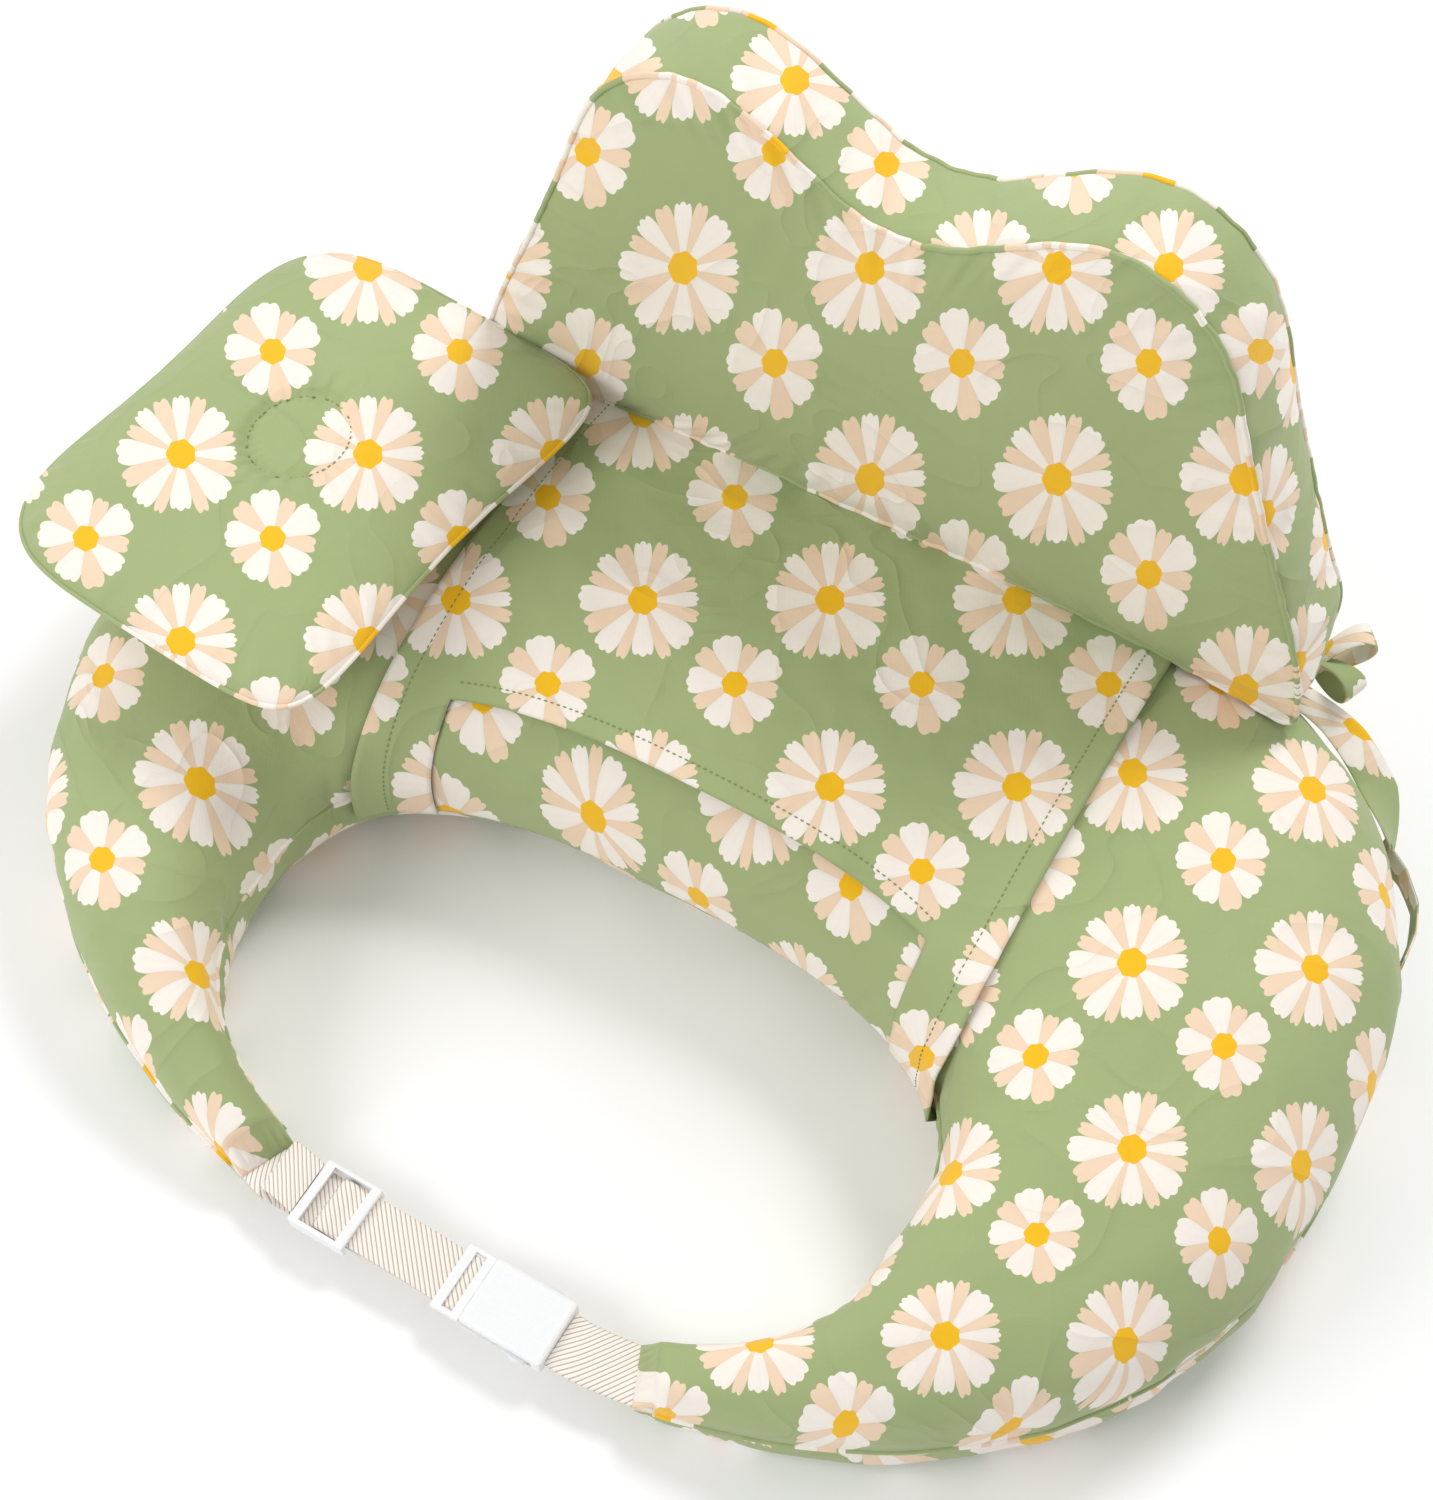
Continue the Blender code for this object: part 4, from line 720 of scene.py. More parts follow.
STRETCH = np.array([1.0, 1.13])
front_print = print_layout(front_face, FENCE_PRINT) / STRETCH
back_print = np.stack([-back_face[..., 0], back_face[..., 2]], axis=-1) / REPEAT
length = np.concatenate([[0.0], np.cumsum(np.linalg.norm(np.diff(seam_front, axis=0), axis=1))])
run_print = np.stack([np.broadcast_to(band[..., 1] - FENCE_FRONT, band.shape[:2]),
                      np.broadcast_to(length, band.shape[:2])], axis=-1) / REPEAT
top_of_band = (seam_front[:, 2] > 0.285)
fence_parts = [(front_face, front_print), (back_face, back_print)]
changes = np.flatnonzero(np.diff(top_of_band.astype(int))) + 1
bounds = [0, *changes.tolist(), len(seam_front) - 1]
for first, last in zip(bounds[:-1], bounds[1:]):
    piece_of = band[:, first:last + 1]
    middle = (first + last) // 2
    look = print_layout(piece_of, BAND_PRINT) if top_of_band[middle] else run_print[:, first:last + 1]
    fence_parts.append((piece_of, look))
fence = sew("fence_cover", fence_parts, cotton)
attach(fence, "fence")
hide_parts("fence_front_panel", "fence_back_panel", "fence_gusset", "fence_foot_panel",
            "fence_filling")

for name, path, layout in (("fence_front_seam", seam_front, front_print[0]),
                           ("fence_back_seam", seam_back, back_print[0])):
    seam = ridge(name, path, 0.0014, layout, cotton)
    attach(seam, "fence")


# ---------------------------------------------------------------------------------------------
# Head pillow.  A small stuffed cushion with drawn-in sides; an oval sewn through its middle makes a
# hollow for the head, and a patch of hook-and-loop under it holds it to the arm.
HEAD_WIDTH = 0.184
HEAD_LENGTH = 0.226
HEAD_TURN = math.radians(-5.0)
HEAD_POWER = 4.2
HEAD_CENTRE = np.array([-0.228, -0.069])
HEAD_PRINT = (-0.1584, 0.2195)
OVAL = (0.022, 0.024)
head_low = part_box("head_pillow_bottom")[0][2]
head_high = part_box("head_pillow_top")[1][2]
head_middle = (head_low + head_high) / 2
head_half = (head_high - head_low) / 2


def head_outline(count):
    """A superellipse turned a few degrees, its long sides drawn in by the square of a cosine."""
    a = np.linspace(0, 2 * math.pi, count)
    power = 2 / (HEAD_POWER + 4.2 * np.clip(np.cos(a), 0.0, 1.0) ** 0.5 * np.abs(np.sin(a)) ** 0.5)
    x = HEAD_WIDTH / 2 * signed_power(np.cos(a), power)
    y = HEAD_LENGTH / 2 * signed_power(np.sin(a), power)
    x = x - 0.007 * np.sign(x) * np.cos(math.pi * y / HEAD_LENGTH) ** 2 * (np.abs(x) > 1e-9)
    return np.stack([x, y], axis=-1)


def head_face(side):
    """Rings from the seam to the middle; the height is a half-round of the ring, the oval sunk in."""
    edge = head_outline(241)
    edge = even(edge, 241)
    r = np.concatenate([[1.0, 0.99, 0.975, 0.955], np.linspace(0.93, 0.02, 40), [0.0]])[:, None, None]
    plan = edge[None] * r
    height = (1 - r[..., 0] ** 3.2) ** 0.62 * np.ones(plan.shape[:2])
    oval = np.sqrt((plan[..., 0] / OVAL[0]) ** 2 + ((plan[..., 1] - 0.002) / OVAL[1]) ** 2)
    groove = np.exp(-((oval - 1) / 0.10) ** 2)
    hollow = 1 / (1 + np.exp((oval - 1) / 0.10))
    around = np.arctan2(plan[..., 1], plan[..., 0])
    pucker = np.sin(22 * around + 2 * np.sin(3 * around)) * np.exp(-((oval - 1.25) / 0.35) ** 2)
    arc = np.linspace(0, 2 * math.pi, plan.shape[1])[None, :]
    near_seam = np.exp(-((r[..., 0] - 0.93) / 0.06) ** 2)
    crease = np.sin(46 * arc + 2.5 * np.sin(7 * arc)) * np.sin(17 * arc)
    spot = np.stack([plan[..., 0], plan[..., 1], height], axis=-1)
    soft = lumps(spot * np.array([1, 1, 0.02]), 0.070, 51 + side)
    rise = head_half * height - (0.0026 * groove + 0.0034 * hollow) * (0.6 + 0.4 * side)
    rumpled = 0.0005 * pucker + 0.0010 * crease * near_seam + 0.0012 * soft * height
    rise = rise + rumpled * (0.7 + 0.3 * side)
    rise[0] = 0.0
    rise = np.maximum(rise, 0.0)
    cosine, sine = math.cos(HEAD_TURN), math.sin(HEAD_TURN)
    x = HEAD_CENTRE[0] + cosine * plan[..., 0] - sine * plan[..., 1]
    y = HEAD_CENTRE[1] + sine * plan[..., 0] + cosine * plan[..., 1]
    return np.stack([x, y, head_middle + side * rise], axis=-1)


head_top, head_under = head_face(1), head_face(-1)
under_print = head_under[..., :2] / REPEAT * np.array([1.0, -1.0])
head_print = print_layout(head_top, HEAD_PRINT)
head = sew("head_pillow_cover", [(head_top, head_print), (head_under, under_print)], cotton)
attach(head, "head_pillow")
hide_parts("head_pillow_top", "head_pillow_bottom", "head_pillow_filling")
seam = ridge("head_pillow_seam", head_top[0], 0.0012, head_print[0], cotton)
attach(seam, "head_pillow")

turn = np.linspace(0, 2 * math.pi, 181)
oval_plan = np.stack([OVAL[0] * np.cos(turn), 0.002 + OVAL[1] * np.sin(turn)], axis=-1)
oval_x = HEAD_CENTRE[0] + math.cos(HEAD_TURN) * oval_plan[:, 0] - math.sin(HEAD_TURN) * oval_plan[:, 1]
oval_y = HEAD_CENTRE[1] + math.sin(HEAD_TURN) * oval_plan[:, 0] + math.cos(HEAD_TURN) * oval_plan[:, 1]
oval_path = np.stack([oval_x, oval_y, np.full(181, head_high - 0.0040)], axis=-1)
run = stitches("head_pillow_oval_stitches", oval_path, np.tile([0.0, 0.0, 1.0], (181, 1)),
               0.0030, 0.0004, thread)
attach(run, "head_pillow")


# ---------------------------------------------------------------------------------------------
# Ties.  On each side a folded cotton band is sewn to the cushion's side, runs up to the fence's corner
# and is knotted there in a bow; lower down the same band makes a loop that stands off the side.
TIE_HALF = 0.0110
TIE_CLOTH = 0.0020


def ribbon(name, path, across, half_width, thickness, finish, look, closed=False):
    """A flat band: an oval section, flattened by a power of its sine, carried along a path.  The section
    is level with the across direction, so the band twists as that direction does."""
    ahead = np.gradient(path, axis=0)
    ahead /= np.linalg.norm(ahead, axis=-1, keepdims=True)
    across = across / np.linalg.norm(across, axis=-1, keepdims=True)
    up = np.cross(across, ahead)
    up /= np.linalg.norm(up, axis=-1, keepdims=True)
    turn = np.linspace(0, 2 * math.pi, 25)
    high = thickness / 2 * signed_power(np.sin(turn), 0.75)
    size = np.broadcast_to(half_width, len(path)) / np.max(half_width)
    wide = np.max(half_width) * signed_power(np.cos(turn), 0.55)
    grid = (path[:, None] + across[:, None] * (wide[None, :] * size[:, None])[..., None]
            + up[:, None] * np.broadcast_to(high, (len(path), 25))[..., None])
    run = np.concatenate([[0.0], np.cumsum(np.linalg.norm(np.diff(path, axis=0), axis=1))])
    side = np.broadcast_to(wide + np.where(high < 0, 0.031, 0.0), grid.shape[:2])
    layout = np.stack([np.broadcast_to(run[:, None], grid.shape[:2]), side], axis=-1)
    layout = layout * look[0] + np.array(look[1:])
    if not closed:
        for end in (0, -1):
            ring = grid[end]
            cap = path[end] + (ring - path[end]) * np.array([0.6, 0.0])[:, None, None]
            cap_look = np.broadcast_to(layout[end], (2, 25, 2))
            rows, looks = (([cap[::-1], grid], [cap_look, layout]) if end == 0
                           else ([grid, cap], [layout, cap_look]))
            grid, layout = np.concatenate(rows), np.concatenate(looks)
    return sew(name, [(grid, layout)], finish)


def side_spot(s, z, sign):
    """A point of the cushion's outer side at this station and height."""
    top = cushion_height(s)
    seam = top * SEAM_LEVEL
    above = np.clip((z - seam) / (top - seam), 0.0, 1.0) ** (1 / ROUNDING)
    below = np.clip((seam - z) / (UNDER_FALL * seam), 0.0, 1.0) ** (1 / ROUNDING)
    angle = np.where(z >= seam, math.pi - np.arcsin(above), math.pi + np.arcsin(below))
    return cushion_skin(s, angle) * np.array([sign, 1.0, 1.0])


def side_band(stops, heights, off, sign, count=60):
    """Path and across direction of a band that lies along the cushion's side, held off it by a distance."""
    share = np.linspace(0, 1, count)
    s = np.interp(share, np.linspace(0, 1, len(stops)), stops)
    z = np.interp(share, np.linspace(0, 1, len(heights)), heights)
    z = np.convolve(np.pad(z, 8, mode="edge"), np.ones(17) / 17, mode="valid")
    low, mid, high = (side_spot(s, z + rise, sign) for rise in (-TIE_HALF, 0.0, TIE_HALF))
    centre = np.array([0.0, RIM[3], 0.0])
    out = (mid - centre) * np.array([1.0, 1.0, 0.0])
    out /= np.linalg.norm(out, axis=-1, keepdims=True)
    middle = (low + high) / 2
    bulge = np.maximum(0.0, ((mid - middle) * out).sum(axis=-1))
    return middle + out * (bulge + np.interp(share, np.linspace(0, 1, len(off)), off))[:, None], high - low


def side_way_out(points):
    """Level directions from the cushion's middle out through the points."""
    out = (points - np.array([0.0, RIM[3], 0.0])) * np.array([1.0, 1.0, 0.0])
    return out / np.linalg.norm(out, axis=-1, keepdims=True)


KNOT_X = 0.2005
KNOT_Y = 0.0930
KNOT_RADII = (0.0046, 0.0050, 0.0058)
BOW_CLOTH = 0.0016

for name, sign in (("right", 1.0), ("left", -1.0)):
    bow_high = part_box(f"{name}_tie_bow_back")[1]
    bow_middle = (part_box(f"{name}_tie_bow_front")[0][2] + bow_high[2]) / 2
    knot = np.array([sign * KNOT_X, KNOT_Y, bow_middle - 0.001])
    for part, lean, rise, size in (("front", -0.42, 0.30, 0.024), ("back", 0.70, 0.75, 0.027)):
        turn = np.linspace(0.12, 2 * math.pi - 0.12, 60)
        ahead = np.array([sign * math.cos(lean), math.sin(lean), rise])
        ahead /= np.linalg.norm(ahead)
        flat = np.cross(ahead, [0.0, 0.0, 1.0])
        flat /= np.linalg.norm(flat)
        up = np.cross(flat, ahead)
        reach = size / 2 * (1 - np.cos(turn))
        width = 0.0062 * np.sin(turn) * (1 - 0.35 * np.cos(turn))
        path_of = knot + reach[:, None] * ahead + width[:, None] * up
        across = flat + 0.25 * np.sin(turn)[:, None] * up
        half = 0.0030 + 0.0034 * np.sin(turn / 2)
        loop = ribbon(f"{name}_bow_{part}", path_of, across, half, BOW_CLOTH, cotton,
                      (1 / REPEAT, 0.36 if part == "front" else -0.08, 0.05))
        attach(loop, "fence")
        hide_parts(f"{name}_tie_bow_{part}")
    ball = np.linspace(0, 2 * math.pi, 33)[None, :]
    lift = np.linspace(-math.pi / 2, math.pi / 2, 17)[:, None]
    fold = 1 + 0.10 * np.sin(5 * ball + 3 * lift) * np.cos(lift)
    knot_grid = knot + np.stack([KNOT_RADII[0] * np.cos(lift) * np.cos(ball) * fold,
                                 KNOT_RADII[1] * np.cos(lift) * np.sin(ball) * fold,
                                 KNOT_RADII[2] * np.sin(lift) * np.ones_like(ball)], axis=-1)
    knot_look = np.stack([ball * 0.05 + 0.2 * lift, 0.47 + 0.02 * lift * ball], axis=-1)
    tied = sew(f"{name}_bow_knot", [(knot_grid, knot_look)], cotton)
    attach(tied, "fence")

    upper, upper_across = side_band((0.226, 0.258, 0.296, 0.345), (0.1060, 0.0920, 0.0790, 0.0690),
                                    (0.0080, 0.0108, 0.0108, 0.0050), sign)
    lean_out = side_way_out(upper)
    tilt = np.array([0.80, 0.85, 0.75, 0.10])
    tilt = np.interp(np.linspace(0, 1, 60), np.linspace(0, 1, 4), tilt)[:, None]
    upper_across = upper_across / np.linalg.norm(upper_across, axis=-1, keepdims=True)
    upper_across = upper_across * (1 - tilt) - lean_out * tilt
    start = knot + np.array([sign * 0.002, -0.002, -0.003])
    lead = np.linspace(0, 1, 16)[:-1, None]
    bend = upper[0] + (upper[0] - upper[3]) * 2.2
    curve = start * (1 - lead) ** 2 + bend * 2 * lead * (1 - lead) + upper[0] * lead ** 2
    path_of = np.concatenate([curve, upper])
    across = np.concatenate([upper_across[0] * np.ones((15, 1)), upper_across])
    half = np.concatenate([np.linspace(0.0035, TIE_HALF * 0.86, 15),
                           np.linspace(TIE_HALF * 0.88, TIE_HALF, 60)])
    band = ribbon(f"{name}_tie_band_cloth", path_of, across, half, TIE_CLOTH, cotton,
                  (1 / REPEAT, -0.62, 0.10))
    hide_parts(f"{name}_tie_band")
    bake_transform(band)

    lower, lower_across = side_band((0.338, 0.358, 0.380, 0.402, 0.424),
                                    (0.0660, 0.0650, 0.0630, 0.0600, 0.0580),
                                    (0.0028, 0.0085, 0.0108, 0.0080, 0.0020), sign)
    half = TIE_HALF * (0.80 + 0.14 * np.cos(np.linspace(0, 2 * math.pi, 60)))
    loop = ribbon(f"{name}_tie_loop_cloth", lower, lower_across, half, TIE_CLOTH, cotton,
                  (1 / REPEAT, 0.30, -0.02))
    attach(loop, "cushion")
    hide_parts(f"{name}_tie_loop")


# ---------------------------------------------------------------------------------------------
# Belt.  Cream twill webbing is sewn into the tips of both arms; the left piece passes through a sliding
# adjuster and back to the plug of a side-release buckle, and the right one carries the socket.
BELT_Y = -0.315
BELT_Z = 0.018
LAYER = 0.00075
WEB_HALF = 0.0125
WEB_THICK = 0.0012
TWILL_PITCH = 0.0026
plug_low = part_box("buckle_plug")[0]
socket_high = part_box("buckle_socket")[1]
slide_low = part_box("strap_adjuster")[0]


def webbing_material(name, slant):
    """Slanting ribs: the distance along the strap plus a share of the distance across it, in pitches.  The
    lines between the ribs are painted dark brown, as painted shade in the grooves.
    """
    made = bpy.data.materials.new(name)
    made.use_nodes = True
    tree = made.node_tree
    shader = tree.nodes["Principled BSDF"]
    cloth = tree.nodes.new("ShaderNodeUVMap")
    cloth.uv_map = "print"
    split = tree.nodes.new("ShaderNodeSeparateXYZ")
    tree.links.new(cloth.outputs["UV"], split.inputs[0])
    drift = calc(tree, "MULTIPLY", split.outputs[1], slant)
    phase = calc(tree, "DIVIDE", calc(tree, "ADD", split.outputs[0], drift), TWILL_PITCH)
    place = calc(tree, "FRACT", phase)
    rib = calc(tree, "ABSOLUTE", calc(tree, "MULTIPLY_ADD", place, 2.0, -1.0))
    # Painted shade: the grooves between the ribs, where the bump below is lowest, are coloured dark brown.
    line = calc(tree, "GREATER_THAN", rib, 0.72)
    grain = tree.nodes.new("ShaderNodeTexNoise")
    grain.inputs["Scale"].default_value = 1800.0
    tree.links.new(cloth.outputs["UV"], grain.inputs["Vector"])
    cream = mix(tree, grain.outputs["Fac"], (0.80, 0.74, 0.67), (0.90, 0.86, 0.80))
    tone = mix(tree, calc(tree, "MULTIPLY", line, 0.85), cream, (0.43, 0.33, 0.27))
    tree.links.new(tone, shader.inputs["Base Color"])
    shader.inputs["Roughness"].default_value = 0.75
    bump = tree.nodes.new("ShaderNodeBump")
    bump.inputs["Strength"].default_value = 0.5
    bump.inputs["Distance"].default_value = 0.0004
    tree.links.new(calc(tree, "SUBTRACT", 1.0, rib), bump.inputs["Height"])
    tree.links.new(bump.outputs["Normal"], shader.inputs["Normal"])
    return made


twill = webbing_material("cream_twill", 0.9)
twill_back = webbing_material("cream_twill_turned", -0.9)
LEVEL_ACROSS = np.array([0.0, 1.0, 0.0])


def arm_tip(sign):
    """Middle of an arm's tip at the belt's height, and the direction in which the arm ends."""
    inner = plan_edge(HOLE, np.array(sign), 0.0)
    outer = plan_edge(RIM, np.array(sign), 0.0)
    along = (outer - inner) / np.linalg.norm(outer - inner)
    out = np.array([along[1] * sign, -along[0] * sign, 0.0])
    return np.append((inner + outer) / 2, BELT_Z), out


def level_ribbon(name, stops, thickness, finish, body, node, steps=14, turn_in=False):
    """Belt webbing that lies level along a smooth curve through its stops."""
    path_of = even(spline(np.array(stops), steps), 90)
    ahead = np.gradient(path_of, axis=0)
    across = np.stack([-ahead[:, 1], ahead[:, 0], np.zeros(90)], axis=-1)
    if turn_in:
        across = np.broadcast_to(LEVEL_ACROSS, path_of.shape)
    strap = ribbon(name, path_of, across, WEB_HALF, thickness, finish, (1.0, 0.0, 0.0))
    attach(strap, body)
    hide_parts(node)
    return strap


left_tip, left_out = arm_tip(-1.0)
right_tip, right_out = arm_tip(1.0)
low_z, high_z = BELT_Z - LAYER, BELT_Z + LAYER
drop = np.array([0.0, 0.0, -LAYER])
level_ribbon("left_webbing", [left_tip + drop - left_out * 0.004, left_tip + drop + left_out * 0.006,
                              left_tip + drop + left_out * 0.015 + np.array([0.002, 0.0, 0.0006]),
                              (-0.076, BELT_Y, low_z), (-0.050, BELT_Y, low_z), (-0.035, BELT_Y, low_z)],
             WEB_THICK, twill, "cushion", "left_belt_webbing")
level_ribbon("right_webbing", [right_tip - right_out * 0.004, right_tip + right_out * 0.006,
                               (socket_high[0] + 0.014, BELT_Y, BELT_Z + 0.0004),
                               (socket_high[0] + 0.0003, BELT_Y, BELT_Z)],
             WEB_THICK * 2, twill_back, "cushion", "right_belt_webbing")
under_bar = plug_low[2] - 0.0009
strap_path = [(-0.0590, BELT_Y, high_z - 0.0001), (-0.0565, BELT_Y, high_z + 0.0009),
              (-0.0530, BELT_Y, high_z + 0.0010), (-0.0475, BELT_Y, high_z),
              (-0.0300, BELT_Y, high_z + 0.0002), (-0.0120, BELT_Y, high_z - 0.0004),
              (plug_low[0] - 0.0030, BELT_Y, BELT_Z - 0.0012), (plug_low[0] + 0.0015, BELT_Y, under_bar),
              (plug_low[0] + 0.0052, BELT_Y, BELT_Z - 0.0004),
              (plug_low[0] + 0.0074, BELT_Y, BELT_Z + 0.0004),
              (plug_low[0] + 0.0096, BELT_Y, BELT_Z - 0.0006), (plug_low[0] + 0.0125, BELT_Y, under_bar)]
level_ribbon("plug_strap_webbing", strap_path, WEB_THICK, twill, "buckle_plug", "plug_strap",
             turn_in=True)
tail_z = (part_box("strap_tail")[0][2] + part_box("strap_tail")[1][2]) / 2
level_ribbon("strap_tail_webbing", [(slide_low[0] - 0.0002, BELT_Y, tail_z),
                                    (slide_low[0] - 0.006, BELT_Y + 0.001, tail_z + 0.0008),
                                    (slide_low[0] - 0.012, BELT_Y + 0.002, tail_z + 0.0006),
                                    (slide_low[0] - 0.0175, BELT_Y + 0.0025, tail_z - 0.0002)],
             WEB_THICK, twill_back, "adjuster", "strap_tail", turn_in=True)

# The cotton is gathered in round the webbing at each tip and sewn down.
for name, sign, tip, out_way, end in (("left", -1.0, left_tip, left_out, 0),
                                      ("right", 1.0, right_tip, right_out, -1)):
    section = np.concatenate([top_soft[end], low_soft[end][1:]])
    section_look = np.concatenate([top_print[end], low_print[end][1:]])
    side_way = np.array([-out_way[1], out_way[0], 0.0])
    width = (section - tip) @ side_way
    height = (section - tip)[:, 2]
    t = np.linspace(0, 1, 15)[:, None]
    half = np.abs(width).max()
    wide = width[None] * (1 - t) + t * np.clip(width * 1.02, -WEB_HALF * 1.04, WEB_HALF * 1.04)[None]
    high = height[None] * (1 - t) ** 1.4 * np.sqrt(1 - 0.55 * t) + np.sign(height)[None] * 0.0012 * t
    gather = 0.0007 * np.sin(7 * math.pi * width / half)[None] * np.sin(math.pi * t)
    cap = tip + side_way * wide[..., None] + out_way * (0.0085 * np.sin(t * math.pi / 2))[..., None]
    cap[..., 2] += high + gather
    cap[..., 2] = np.maximum(cap[..., 2], 0.0003)
    look = section_look[None] + np.stack([0.0 * t, -0.08 * t], axis=-1)
    shut = tip + out_way * 0.0085 + (cap[-1:] - tip - out_way * 0.0085) * np.array([0.5, 0.0])[:, None, None]
    end_look = np.concatenate([look, look[-1:], look[-1:]])
    end_piece = sew(f"{name}_arm_end", [(np.concatenate([cap, shut]), end_look)], cotton)
    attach(end_piece, "cushion")
    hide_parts(f"{name}_belt_anchor")


def moulded_plastic():
    """White acetal: satin, with a faint moulded grain."""
    made = bpy.data.materials.new("white_acetal")
    made.use_nodes = True
    tree = made.node_tree
    shader = tree.nodes["Principled BSDF"]
    place = tree.nodes.new("ShaderNodeTexCoord")
    grain = tree.nodes.new("ShaderNodeTexNoise")
    grain.inputs["Scale"].default_value = 900.0
    grain.inputs["Detail"].default_value = 2.0
    tree.links.new(place.outputs["Object"], grain.inputs["Vector"])
    white = mix(tree, grain.outputs["Fac"], (0.80, 0.80, 0.80), (0.86, 0.86, 0.86))
    tree.links.new(white, shader.inputs["Base Color"])
    bump = tree.nodes.new("ShaderNodeBump")
    bump.inputs["Strength"].default_value = 0.12
    bump.inputs["Distance"].default_value = 0.0002
    tree.links.new(grain.outputs["Fac"], bump.inputs["Height"])
    tree.links.new(bump.outputs["Normal"], shader.inputs["Normal"])
    shader.inputs["Roughness"].default_value = 0.34
    shader.inputs["Subsurface Weight"].default_value = 0.05
    return made


acetal = moulded_plastic()
for node in ("buckle_plug", "buckle_prong_near", "buckle_prong_far", "buckle_socket", "strap_adjuster"):
    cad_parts[node].material_slots[0].material = acetal


# ---------------------------------------------------------------------------------------------
# Zips and patches.  Coil zips on woven tape close the cushion underneath and the fence behind; squares
# and strips of hook-and-loop hold the head pillow and the fence's foot.
def tape_material(name, colours, scale, rough, height):
    """A grainy finish between two colours, with a bump of the same grain."""
    made = bpy.data.materials.new(name)
    made.use_nodes = True
    tree = made.node_tree
    shader = tree.nodes["Principled BSDF"]
    place = tree.nodes.new("ShaderNodeTexCoord")
    grain = tree.nodes.new("ShaderNodeTexNoise")
    grain.inputs["Scale"].default_value = scale
    grain.inputs["Detail"].default_value = 3.0
    tree.links.new(place.outputs["Object"], grain.inputs["Vector"])
    tree.links.new(mix(tree, grain.outputs["Fac"], *colours), shader.inputs["Base Color"])
    bump = tree.nodes.new("ShaderNodeBump")
    bump.inputs["Strength"].default_value = 0.6
    bump.inputs["Distance"].default_value = height
    tree.links.new(grain.outputs["Fac"], bump.inputs["Height"])
    tree.links.new(bump.outputs["Normal"], shader.inputs["Normal"])
    shader.inputs["Roughness"].default_value = rough
    return made


tape = tape_material("zip_tape_weave", ((0.30, 0.40, 0.18), (0.38, 0.49, 0.25)), 700.0, 0.85, 0.0003)
coil = tape_material("zip_coil_nylon", ((0.36, 0.46, 0.24), (0.42, 0.52, 0.29)), 500.0, 0.40, 0.0001)
pile = tape_material("hook_and_loop_pile", ((0.62, 0.62, 0.57), (0.86, 0.86, 0.81)), 1500.0, 0.95, 0.0012)
for node in ("base_zip_tape", "fence_zip_tape"):
    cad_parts[node].material_slots[0].material = tape
for node in ("base_zip_slider", "base_zip_pull", "fence_zip_slider", "fence_zip_pull"):
    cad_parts[node].material_slots[0].material = coil
for node in ("base_loop_strip", "base_loop_patch", "fence_hook_strip", "head_pillow_hook_patch"):
    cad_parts[node].material_slots[0].material = pile


def zip_coil(name, node, body, up):
    """A row of coil teeth: each is a short oval bar across the zip, alternately from either tape."""
    low, high = (np.array(corner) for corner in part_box(node))
    centre, size = (low + high) / 2, high - low
    up = np.array(up)
    across = np.cross(up, [1.0, 0.0, 0.0])
    half_wide = np.abs(size @ np.abs(across)) / 2
    half_high = np.abs(size @ np.abs(up)) / 2
    pitch = 0.00125
    count = int(size[0] / pitch)
    turn = np.linspace(0, 2 * math.pi, 7)
    t = np.linspace(-1, 1, 6)
    parts = []
    for k in range(count):
        side = 1 if k % 2 else -1
        x = low[0] + pitch * (k + 0.5)
        thick = (1 - t ** 8) ** 0.5
        ring = np.cos(turn)[None, :, None] * np.array([0.00058, 0, 0])
        ring = ring + np.sin(turn)[None, :, None] * up * half_high
        line = np.array([x, centre[1], centre[2]]) + across * (t * 0.72 + side * 0.26)[:, None] * half_wide
        grid = line[:, None] + ring * thick[:, None, None]
        parts.append((grid, np.zeros(grid.shape[:2] + (2,))))
    teeth = sew(name, parts, coil, weld=1e-7)
    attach(teeth, body)
    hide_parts(node)


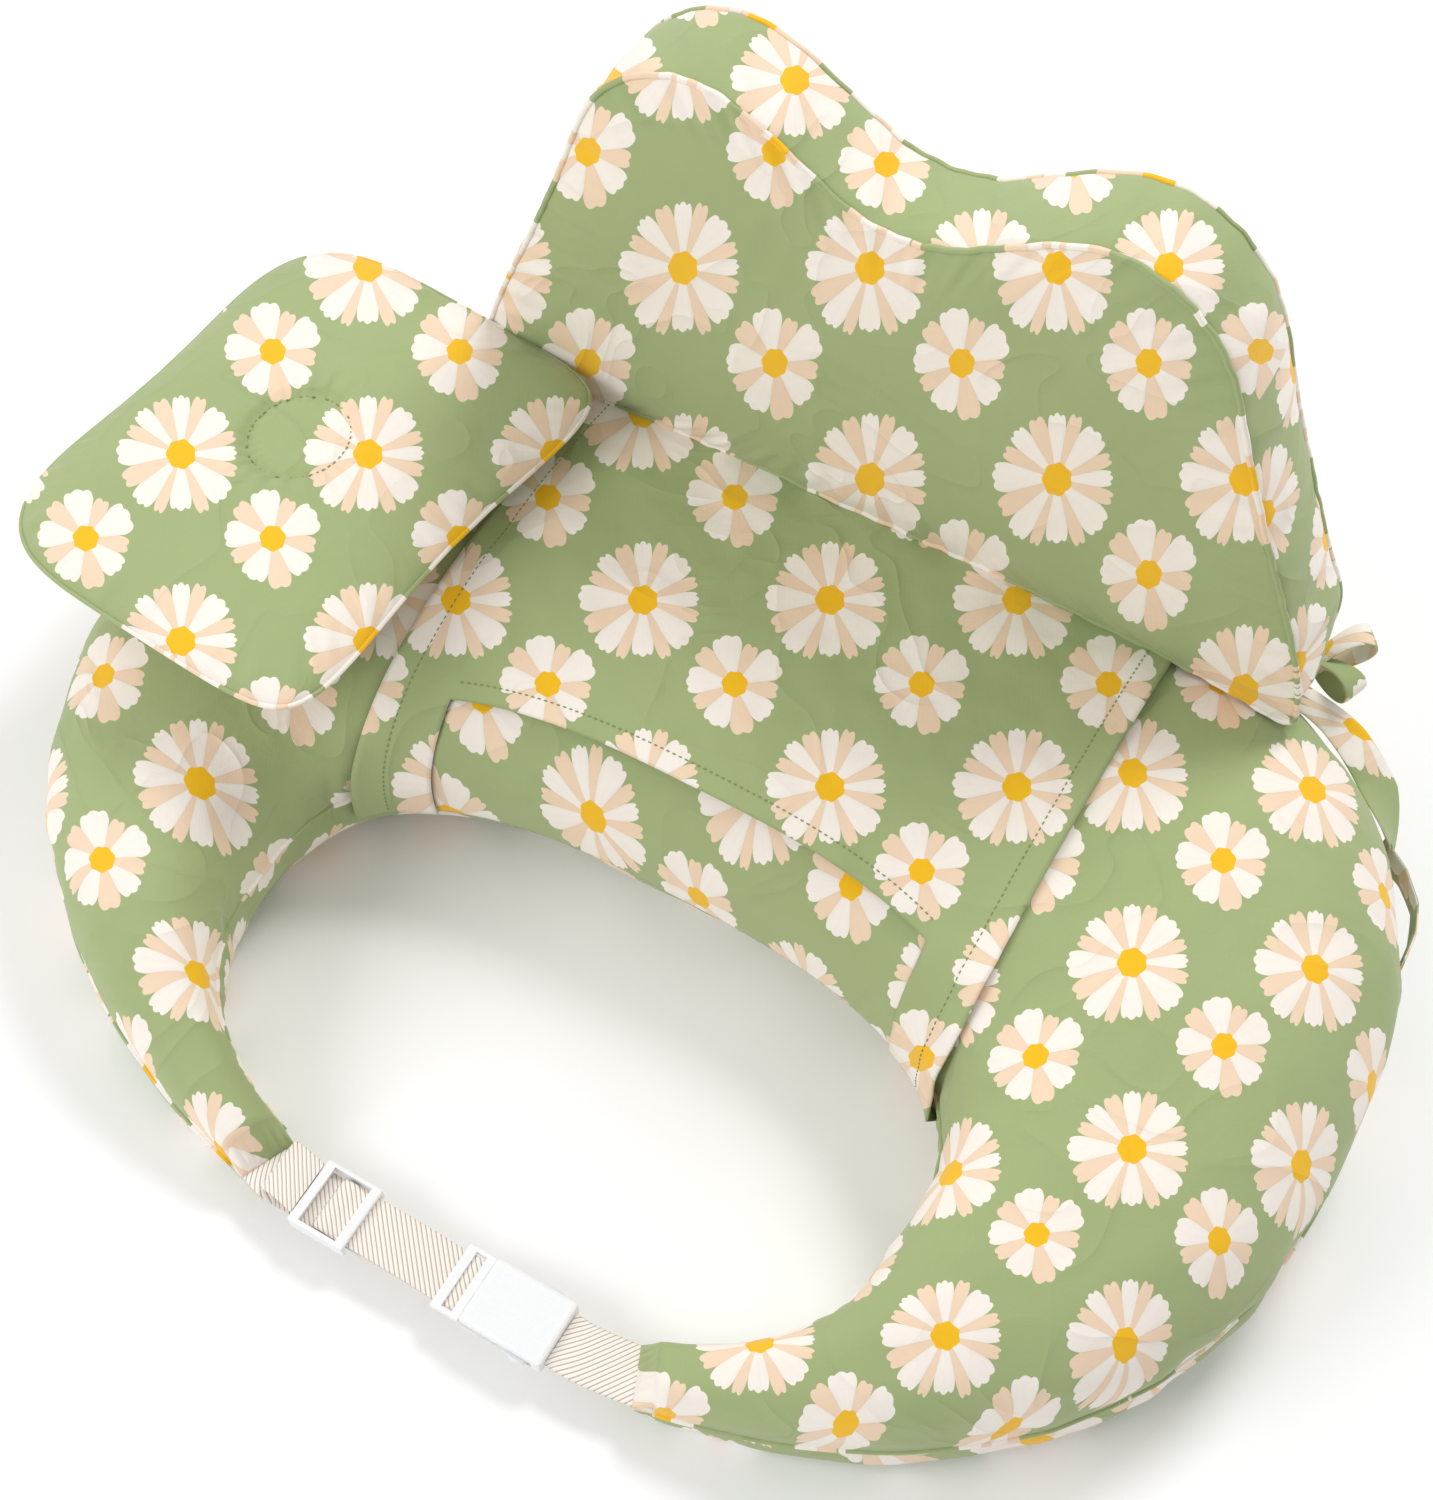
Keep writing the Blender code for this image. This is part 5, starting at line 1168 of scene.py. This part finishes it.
zip_coil("base_zip_coil", "base_zip_teeth", "cushion", (0.0, 0.0, 1.0))
zip_coil("fence_zip_coil", "fence_zip_teeth", "fence", (0.0, 1.0, 0.0))


# ---------------------------------------------------------------------------------------------
# Table, light and camera.  A plain white sweep under broad soft lamps; the main one is high on the
# right and behind, so shadows fall softly towards the left and the front.
def plain_material(name, colour, roughness):
    """One even colour."""
    made = bpy.data.materials.new(name)
    made.use_nodes = True
    shader = made.node_tree.nodes["Principled BSDF"]
    shader.inputs["Base Color"].default_value = (*colour, 1.0)
    shader.inputs["Roughness"].default_value = roughness
    return made


floor_mesh = bpy.data.meshes.new("table")
floor_mesh.from_pydata([(-6, -6, 0), (6, -6, 0), (6, 6, 0), (-6, 6, 0)], [], [(0, 1, 2, 3)])
floor_mesh.materials.append(plain_material("table_white", (0.93, 0.93, 0.93), 0.9))
table = bpy.data.objects.new("table", floor_mesh)
bpy.context.scene.collection.objects.link(table)


def lamp(name, place, aim, size, power):
    """A round soft lamp turned towards a place."""
    data = bpy.data.lights.new(name, "AREA")
    data.shape = "DISK"
    data.size = size
    data.energy = power
    item = bpy.data.objects.new(name, data)
    item.location = place
    item.rotation_euler = (Vector(aim) - Vector(place)).to_track_quat("-Z", "Y").to_euler()
    bpy.context.scene.collection.objects.link(item)


lamp("main_lamp", (0.30, 1.15, 1.9), (0.0, -0.05, 0.05), 0.8, 24.0)
lamp("fill_lamp", (-1.2, -1.5, 1.3), (0.0, -0.05, 0.05), 1.4, 21.0)
world = bpy.data.worlds.new("studio")
world.use_nodes = True
world.node_tree.nodes["Background"].inputs["Color"].default_value = (1.0, 1.0, 1.0, 1.0)
world.node_tree.nodes["Background"].inputs["Strength"].default_value = 0.64
bpy.context.scene.world = world
bpy.context.scene.view_settings.view_transform = "Standard"

lens = bpy.data.cameras.new("camera")
lens.lens = 59.27
lens.sensor_width = 36.0
lens.sensor_fit = "HORIZONTAL"
camera = bpy.data.objects.new("camera", lens)
camera.location = VIEW_POINT
camera.rotation_euler = Vector(view_axes()[2]).to_track_quat("Z", "Y").to_euler()
bpy.context.scene.collection.objects.link(camera)
bpy.context.scene.camera = camera
